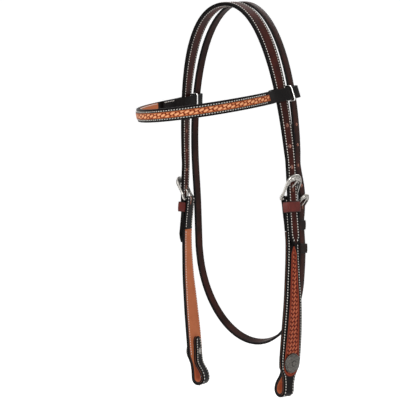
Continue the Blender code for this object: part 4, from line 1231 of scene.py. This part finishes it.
sewn("browband_stitches", "browband", [
    seam(strap, start, end - seam_margin, inset, face) for strap, start, end, inset, face in (
        (band_face, seam_margin, band_face.distances[-1], border_stitch_inset, 1),
        (band_lining, seam_margin, band_lining.distances[-1], fold_stitch_inset, -1),
        (band_strap, seam_margin, fold_length + seam_margin, fold_stitch_inset, 1),
        (band_strap, whole_length - fold_length, whole_length, fold_stitch_inset, 1))])


# Browband rings. A bright nickel wire ring is squeezed round each loop between the two straps in it.
ring_wire = 0.0009
ring_corner = 3 * ring_wire
ring_rear = 0.02547
ring_slant = 0.0004


def ring_path():
    """The middle of the near ring's wire: a rounded oblong round both plies of the loop."""
    path = band_strap_half()
    crossings = []
    for before, after in zip(path, path[1:]):
        if (before.y - ring_rear) * (after.y - ring_rear) < 0:
            share = (ring_rear - before.y) / (after.y - before.y)
            crossings.append(before.x + (after.x - before.x) * share)
    inner, outer = min(crossings), max(crossings)
    wide = (outer - inner + dark_layer) / 2 + seat_gap * 2 + ring_wire
    high = band_height / 2 + seat_gap * 2 + ring_wire
    lean = Vector((-band_leg_lean, 0, 0)) + band_up - band_along * (ring_slant / high)
    return rounded_oblong(on_band((outer + inner) / 2, ring_rear), Vector((1, 0, 0)), lean,
                          wide - ring_corner, (ring_corner - high, high - ring_corner), ring_corner, 8)


sides = (("near", 1), ("off", -1))
nickel = antiqued_metal("bright_nickel", (0.86, 0.85, 0.83), (0.30, 0.29, 0.28), 0.08)
points = ring_path()
for word, side in sides:
    ring = wire_piece(word + "_ring_wire", points, [ring_wire] * len(points), band_along, nickel, side, 0.9,
                      True)
    place_piece(ring, "browband", word + "_browband_ring")


# Cheek pieces. A black base layer is folded round the buckle's heel bar at the top, runs down the
# front, turns round the bit loop and comes up behind as a tail. A rough tan lining is sewn to its
# inner side. Both edges are sewn right through with white thread close to the rim.
cheek_top_width = 0.0188
cheek_wide_width = 0.0335
cheek_taper_start = 0.040
cheek_taper_length = 0.155
cheek_rearward = 0.006
cheek_rearward_shares = ((0.0, 0.0), (0.16, 0.06), (0.30, 0.24), (0.43, 0.46), (0.52, 0.72),
                         (0.61, 0.88), (0.75, 1.0), (1.0, 0.92))
top_settle = 0.050
bit_neck_width = 0.017
bit_neck_length = 0.022
bit_hole_radius = 0.00475
tail_tip_width = 0.0125
tail_taper_length = 0.035
chape_end_drop = 0.0405
concho_drop = 0.2085
concho_rim = 0.0012
tail_end_drop = 0.1885
tail_join_drop = 0.2185
tail_bend_share = 0.42
post_radius = 0.0022
loop_spans = 11
tail_bend_spans = 12
cheek_step = 0.0018
tip_step = 0.0006
cheek_stitch_inset = 0.0022


def cheek_width(drop):
    """Narrow at the buckle, widest round the concho and necked in for the bit loop."""
    neck_start = concho_drop + concho_rim
    if drop <= neck_start:
        share = min(1, max(0, (drop - cheek_taper_start) / cheek_taper_length))
        return cheek_top_width + (cheek_wide_width - cheek_top_width) * (1 - math.cos(math.pi * share)) / 2
    share = min(1, (drop - neck_start) / bit_neck_length)
    return cheek_wide_width + (bit_neck_width - cheek_wide_width) * (1 - math.cos(math.pi * share)) / 2


def on_cheek(drop, out=0.0):
    """A point on the middle line of the cheek piece, or this far outside it."""
    settled = cheek_rearward * read_shares(cheek_rearward_shares, drop / cheek_drop)
    forward = top_forward * max(0, 1 - drop / top_settle)
    return cheek_bar.point(cheek_line(drop) + out, -drop, settled - forward)


def cheek_axes(drop):
    """Down the cheek piece, across it to the rear, and out of it."""
    down = (on_cheek(drop + seat_gap) - on_cheek(drop - seat_gap)).normalized()
    across = (cheek_bar.across - down * cheek_bar.across.dot(down)).normalized()
    return down, across, down.cross(across)


def cheek_front_line():
    """The inner face of the black layer down the front, as (place, width) pairs."""
    foot = keeper_top_drop + keeper_length
    return [(on_cheek(drop, chape_spread(drop)), cheek_width(drop))
            for drop in steps(fine_step, foot, fine_step) + steps(foot, cheek_drop)[1:]]


def tail_width(left):
    """The width of the tail this far from its round tip."""
    share = min(1, left / tail_taper_length)
    full = tail_tip_width + (bit_neck_width - tail_tip_width) * share
    if left < full / 2:
        full = max(point_width, full * math.sqrt(1 - (1 - 2 * left / full) ** 2))
    return full


def bit_loop_line():
    """The same face round the bit loop and up the tail, from the foot of the front."""
    down, _, out = cheek_axes(cheek_drop - seat_gap)
    turn = bit_hole_radius + tan_layer + seat_gap / 2
    line = arc(on_cheek(cheek_drop) - out * turn, out, down, turn, 0, math.pi, loop_spans)[1:]
    apart = 2 * tan_layer + 2 * seat_gap
    join_down, _, join_out = cheek_axes(tail_join_drop)
    foot = line[-1]
    head = on_cheek(tail_join_drop) - join_out * apart
    reach = (head - foot).length * tail_bend_share
    handles = (foot, foot - down * reach, head + join_down * reach, head)
    line += [bezier(handles, k / tail_bend_spans) for k in range(1, tail_bend_spans)]
    round_start = tail_end_drop + tail_tip_width / 2
    drops = steps(tail_join_drop, round_start) + steps(round_start, tail_end_drop, tip_step)[1:]
    widths = [bit_neck_width] * len(line) + [tail_width(drop - tail_end_drop) for drop in drops]
    line += [on_cheek(drop) - cheek_axes(drop)[2] * apart for drop in drops]
    return list(zip(line, widths))


def chape_line():
    """The same face up the folded end of the chape and over the heel bar."""
    line = [(on_cheek(drop, -chape_spread(drop)), cheek_width(drop))
            for drop in steps(chape_end_drop, fine_step, 2 * fine_step)]
    wrap = arc(on_cheek(0), cheek_bar.out, up, chape_spread(0), math.pi, 0, 6)
    return line + [(place, cheek_width(0)) for place in wrap]


def cheek_strap(line, low, high):
    stations = [Station(place, cheek_bar.across, width, low, high) for place, width in line]
    return Strap(refined(stations, cheek_step))


def post_hole():
    """A cutter for the concho's post, through every layer of the cheek piece."""
    radius = post_radius + seat_gap
    return turned(on_cheek(concho_drop), cheek_axes(concho_drop)[2],
                  ((-cheek_wide_width, radius), (cheek_wide_width, radius)))


channel_relief = creased((0, 0, 1), ((0.0002, cheek_stitch_inset, 0.0006),))
cheek_base = cheek_strap(chape_line() + cheek_front_line() + bit_loop_line(), seat_gap / 2,
                         seat_gap / 2 + dark_layer)
lining_start = chape_end_drop + 2 * seat_gap
lining_line = [(on_cheek(lining_start), cheek_width(lining_start))]
lining_line += [(on_cheek(drop), cheek_width(drop)) for drop in steps(lining_start, cheek_drop)[1:]]
cheek_lining = cheek_strap(lining_line + bit_loop_line(), -seat_gap / 2 - tan_layer, -seat_gap / 2)
lining_seam_end = concho_drop - lining_start + 3 * seam_margin
slot_reach = 4 * (bar_radius + dark_layer)
tongue_slot = box(cheek_bar.place, (cheek_bar.out, cheek_bar.across, up),
                  (slot_reach, 2 * (tongue_radius + tongue_play), slot_reach))
for word, side in sides:
    body = word + "_cheek"
    base = strap_piece(body + "_base", cheek_base, (black_leather, punch_wall), side, channel_relief, 22)
    cut(base, [on_side(tongue_slot, side)])
    cut(base, [on_side(post_hole(), side)])
    place_piece(base, body, body + "_strap")
    backing = strap_piece(body + "_backing", cheek_lining, (rough_tan, punch_wall), side)
    cut(backing, [on_side(post_hole(), side)])
    place_piece(backing, body, body + "_lining")
    sewn(body + "_stitches", body, [
        seam(cheek_base, seam_margin, cheek_base.distances[-1] - seam_margin, cheek_stitch_inset, 1),
        seam(cheek_lining, seam_margin, lining_seam_end, cheek_stitch_inset, -1)], side)


# Cheek panels. Each is a separate thin layer of russet leather with a pointed top and a round foot,
# stamped like the browband inside a raised border, and dyed dark in the recesses.
overlay_top_drop = 0.0595
overlay_point = 0.010
overlay_top_width = 0.009
overlay_foot = 0.018
panel_slant = math.radians(-46)
rail_height = 0.00015
rail_outside = (0.0005, 0.0010)
rail_inside = (0.0024, 0.0029)
field_edge = (0.0030, 0.0036)


def panel_full(drop):
    """The tapered width of the panel, but for its two ends."""
    widest = cheek_width(concho_drop) - 2 * overlay_border
    share = min(1, (drop - overlay_top_drop) / (concho_drop - overlay_top_drop))
    return overlay_top_width + (widest - overlay_top_width) * share


def panel_width(drop):
    """The width of the panel, with its pointed top and its round foot."""
    full = panel_full(drop)
    foot = concho_drop + overlay_foot
    if drop < overlay_top_drop + overlay_point:
        full = point_width + (full - point_width) * (drop - overlay_top_drop) / overlay_point
    if drop > foot - full / 2:
        share = (drop - foot + full / 2) / (full / 2)
        full = max(point_width, full * math.sqrt(max(0, 1 - share**2)))
    return full


def panel_relief(distance, v, half):
    """Stamped weave inside a raised border that follows the whole outline."""
    drop = overlay_top_drop + distance
    full = panel_full(drop)
    inset = min(half - abs(v), distance * 0.6 + 0.0004)
    past = drop - (concho_drop + overlay_foot - full / 2)
    if past > 0:
        inset = full / 2 - math.hypot(v, past)
    field = smoothstep(*field_edge, inset)
    weave = basket(distance, v, panel_slant)
    rail = smoothstep(*rail_outside, inset) * (1 - smoothstep(*rail_inside, inset))
    rise = (stamp_rise * weave - stamp_sink) * field + rail_height * rail
    return rise, max(field * weave, rail * 0.62)


# A deeper red than the browband's tooling, and darker all over as painted shade on the cheeks.
red_tooling_in_painted_shade = tooled_leather("tooled_red_leather", (0.060, 0.004, 0.001), (0.13, 0.010, 0.003),
                            (0.33, 0.048, 0.015), (0.54, 0.145, 0.070))
panel_low = seat_gap * 3 / 2 + dark_layer
panel_drops = (steps(overlay_top_drop, overlay_top_drop + overlay_point)
               + steps(overlay_top_drop + overlay_point, concho_drop)[1:]
               + steps(concho_drop, concho_drop + overlay_foot, tip_step)[1:])
panel = Strap(refined([Station(on_cheek(drop), cheek_bar.across, panel_width(drop), panel_low,
                               panel_low + overlay_layer) for drop in panel_drops], tooling_step))
for word, side in sides:
    piece = strap_piece(word + "_cheek_panel", panel, (red_tooling_in_painted_shade, punch_wall), side, panel_relief, 44,
                        overlay_round)
    cut(piece, [on_side(post_hole(), side)])
    place_piece(piece, word + "_cheek", word + "_cheek_overlay")


# Cheek keepers. A glossy red-brown band is caught in each chape and holds the crown billet down.
keeper_play = 0.0016
keeper_leather = bridle_leather("keeper_leather", (0.15, 0.017, 0.011), (0.075, 0.009, 0.006),
                                (0.035, 0.008, 0.006), 0.0003, 0.0014, 0.24, 0.3)
keeper_middle = keeper_top_drop + keeper_length / 2
down, across, out = cheek_axes(keeper_middle)
keeper_face = (billet_bar_out + billet_foot_out()) / 2 + seat_gap / 2 + outer_ply
keeper_band = closed_band(on_cheek(keeper_middle), out, across, down,
                          (keeper_layer / 2, keeper_face - cheek_line(keeper_middle) + keeper_play),
                          cheek_width(keeper_middle) + 2 * seat_gap, keeper_length)
for word, side in sides:
    piece = strap_piece(word + "_keeper_band", keeper_band, (keeper_leather,), side, keeper_relief, 16,
                        keeper_round)
    place_piece(piece, word + "_cheek", word + "_cheek_keeper")


# Cheek buckles, cast and engraved like the throatlatch's but larger.
cheek_sizes = (0.0100, 0.0148, 0.034, 0.0015, 0.004, bar_radius)
cheek_tilt = math.radians(26)


def billet_faces_at(height):
    """How far out the inner and outer faces of the crown billet lie at this height over the bar."""
    places = [entry[0] for entry in crown_half()]
    nearest = min(places, key=lambda place: abs(place.z - cheek_bar.place.z - height))
    middle = (nearest - cheek_bar.base).dot(cheek_bar.out)
    return middle - seat_gap / 2 - inner_ply, middle + seat_gap / 2 + outer_ply


for word, side in sides:
    place_piece(buckle_frame(word + "_buckle_silver", cheek_bar, cheek_tilt, cheek_sizes, silver, side),
                word + "_cheek_buckle", word + "_cheek_buckle_frame")
    line = tongue_line(cheek_bar, cheek_tilt, cheek_sizes, tongue_radius, billet_faces_at(tongue_hole_up),
                       tongue_hole_up)
    place_piece(tongue_piece(word + "_tongue_wire", line, tongue_radius, cheek_bar.across, silver, side),
                word + "_cheek_tongue", word + "_cheek_buckle_tongue")


# Conchos. A domed disc of antiqued silver with a rope edge, running scrolls and a small flower in the
# middle. Its bored post goes through every layer and takes the screw from behind.
concho_radius = 0.0127
concho_dome = 0.0034
post_bore = 0.0015
post_depth = 2 * tan_layer + dark_layer + seat_gap * 3 / 2
concho_spans = 120
dome_rings = 34
edge_round = 0.0003
bore_end_radius = 0.0002
dome_middle_share = 0.004
rope_share = 0.86
flower_share = 0.30


def concho_relief(share, turn):
    """The rise of the engraved face and its tone, by the share of the radius and the turn round it."""
    if share > rope_share:
        twist = math.cos(turn * 30 + share * 30)
        edge = hump(share, 0.93, 0.05)
        return 0.00035 * edge * (0.6 + 0.4 * twist), 0.35 + 0.65 * edge * (0.5 + 0.5 * twist)
    if share < flower_share:
        petal = abs(math.cos(turn * 4))
        rise = (1 - smoothstep(0.18, 0.29, share)) * (0.4 + 0.6 * petal)
        return 0.00045 * rise, 0.15 + 0.85 * rise
    line = max(scroll(turn / math.tau * 8, (share - 0.32) / 0.5), hump(share, 0.85, 0.012),
               hump(share, 0.31, 0.012))
    return -0.00025 * line, 1 - line


def concho_shape():
    out = cheek_axes(concho_drop)[2]
    centre = on_cheek(concho_drop)
    across = out.orthogonal().normalized()
    other = out.cross(across)
    seat = seat_gap * 5 / 2 + dark_layer + overlay_layer
    rings, pairs = [], []
    body = [(seat, bore_end_radius), (seat, post_bore), (-post_depth, post_bore), (-post_depth, post_radius),
            (seat, post_radius), (seat, concho_radius - edge_round),
            (seat + edge_round, concho_radius), (seat + concho_rim, concho_radius)]
    shares = [1 - k / dome_rings for k in range(1, dome_rings)] + [dome_middle_share]
    for height, radius in body + [(None, share) for share in shares]:
        ring = []
        for k in range(concho_spans):
            turn = math.tau * k / concho_spans
            rise, reach, tone = height, radius, 0.45
            if height is None:
                lift, tone = concho_relief(radius, turn)
                rise = seat + concho_rim + concho_dome * math.sqrt(1 - radius**2) * 0.95 + lift
                reach = radius * concho_radius
            ring.append(centre + out * rise + across * (reach * math.cos(turn))
                        + other * (reach * math.sin(turn)))
            pairs.append((reach, tone))
        rings.append(ring)
    return loft(rings), pairs


dark_silver = antiqued_metal("dark_antiqued_silver", (0.13, 0.12, 0.11), (0.004, 0.004, 0.003), 0.2)
for word, side in sides:
    shape, pairs = concho_shape()
    piece = add_mesh(word + "_concho_silver", shape, (dark_silver,), side, {"lay": pairs, "rim": pairs})
    place_piece(piece, word + "_cheek", word + "_concho")


# Concho screws: the solids as they are, in plain nickel with turning marks round the slot.
finish = new_finish("screw_nickel")
grime = finish.noise(500, 4)
marks = finish.noise(2600, 2)
finish.drive(Base_Color=finish.mixed(grime.ramp(0.3, 0.6), (0.05, 0.045, 0.04), (0.34, 0.32, 0.30)))
finish.drive(Metallic=1.0, Roughness=marks * 0.2 + grime * 0.15 + 0.2)
finish.bump(marks, 0.25, 0.00008)
for word, _ in sides:
    for slot in bpy.data.objects[word + "_concho_screw"].material_slots:
        slot.material = finish.material


# Stage. A white sweep under and behind the headstall, soft lamps, and the camera of the photograph. The
# sweep and the world show white to the camera and in the metal, and light the object less than that.
def background_seen(finish):
    """1 for the rays that show the background, 0 for the others."""
    kinds = ("Is Camera Ray", "Is Glossy Ray", "Is Transmission Ray")
    camera, glossy, through = (finish.node("ShaderNodeLightPath", {}, {}, kind) for kind in kinds)
    return (camera + glossy + through).ramp(0, 1)


floor_level = -0.62
floor_half = 7.0
floor_stops = (-5.0, -2.0, 0.0, 1.0)
wall_foot = 2.0
wall_round = 1.5
wall_top = 6.0
sweep = []
for x in (-floor_half, floor_half):
    centre = Vector((x, wall_foot, floor_level + wall_round))
    sweep.append([(x, y, floor_level) for y in floor_stops]
                 + arc(centre, rearward, up, wall_round, -math.pi / 2, 0, 16)
                 + [(x, wall_foot + wall_round, wall_top)])
count = len(sweep[0])
finish = new_finish("white_sweep")
seen = background_seen(finish)
grain = finish.noise(30, 2)
finish.drive(Base_Color=finish.mixed(grain, (0.86, 0.86, 0.86), (0.90, 0.90, 0.90)), Roughness=0.9)
finish.drive(Emission_Color=finish.mixed(seen, (0.1, 0.1, 0.1), (1.0, 1.0, 1.0)), Emission_Strength=0.6)
faces = [(k, k + 1, count + k + 1, count + k) for k in range(count - 1)]
floor = add_mesh("floor", (sweep[0] + sweep[1], faces), (finish.material,))
floor.rotation_euler.z = math.radians(40)
world = bpy.data.worlds.new("studio")
bpy.context.scene.world = world
finish = Finish(world, "Background")
finish.drive(Color=(1, 1, 1), Strength=background_seen(finish) * 0.65 + 0.35)
aim = Vector((0, 0, -0.25))
for name, place, size, power in (("key", (0.2, -1.7, 0.9), 0.7, 17), ("side", (1.9, -0.5, 0.2), 0.6, 8),
                                 ("fill", (-1.4, -1.2, 0.1), 1.0, 3.5), ("back", (-0.3, 1.5, 0.9), 0.7, 6)):
    lamp_data = bpy.data.lights.new(name, "AREA")
    lamp_data.size = size
    lamp_data.energy = power
    lamp = bpy.data.objects.new(name, lamp_data)
    lamp.location = place
    lamp.rotation_euler = (aim - lamp.location).to_track_quat("-Z", "Y").to_euler()
    bpy.context.scene.collection.objects.link(lamp)
camera_data = bpy.data.cameras.new("camera")
camera_data.sensor_width = 36
camera_data.lens = 95.58
camera = bpy.data.objects.new("camera", camera_data)
camera.location = (0.8624, -1.0800, -0.2526)
camera.rotation_euler = Vector((-0.64279, 0.76604, 0)).to_track_quat("-Z", "Y").to_euler()
bpy.context.scene.collection.objects.link(camera)
bpy.context.scene.camera = camera
bpy.context.scene.view_settings.view_transform = "Standard"
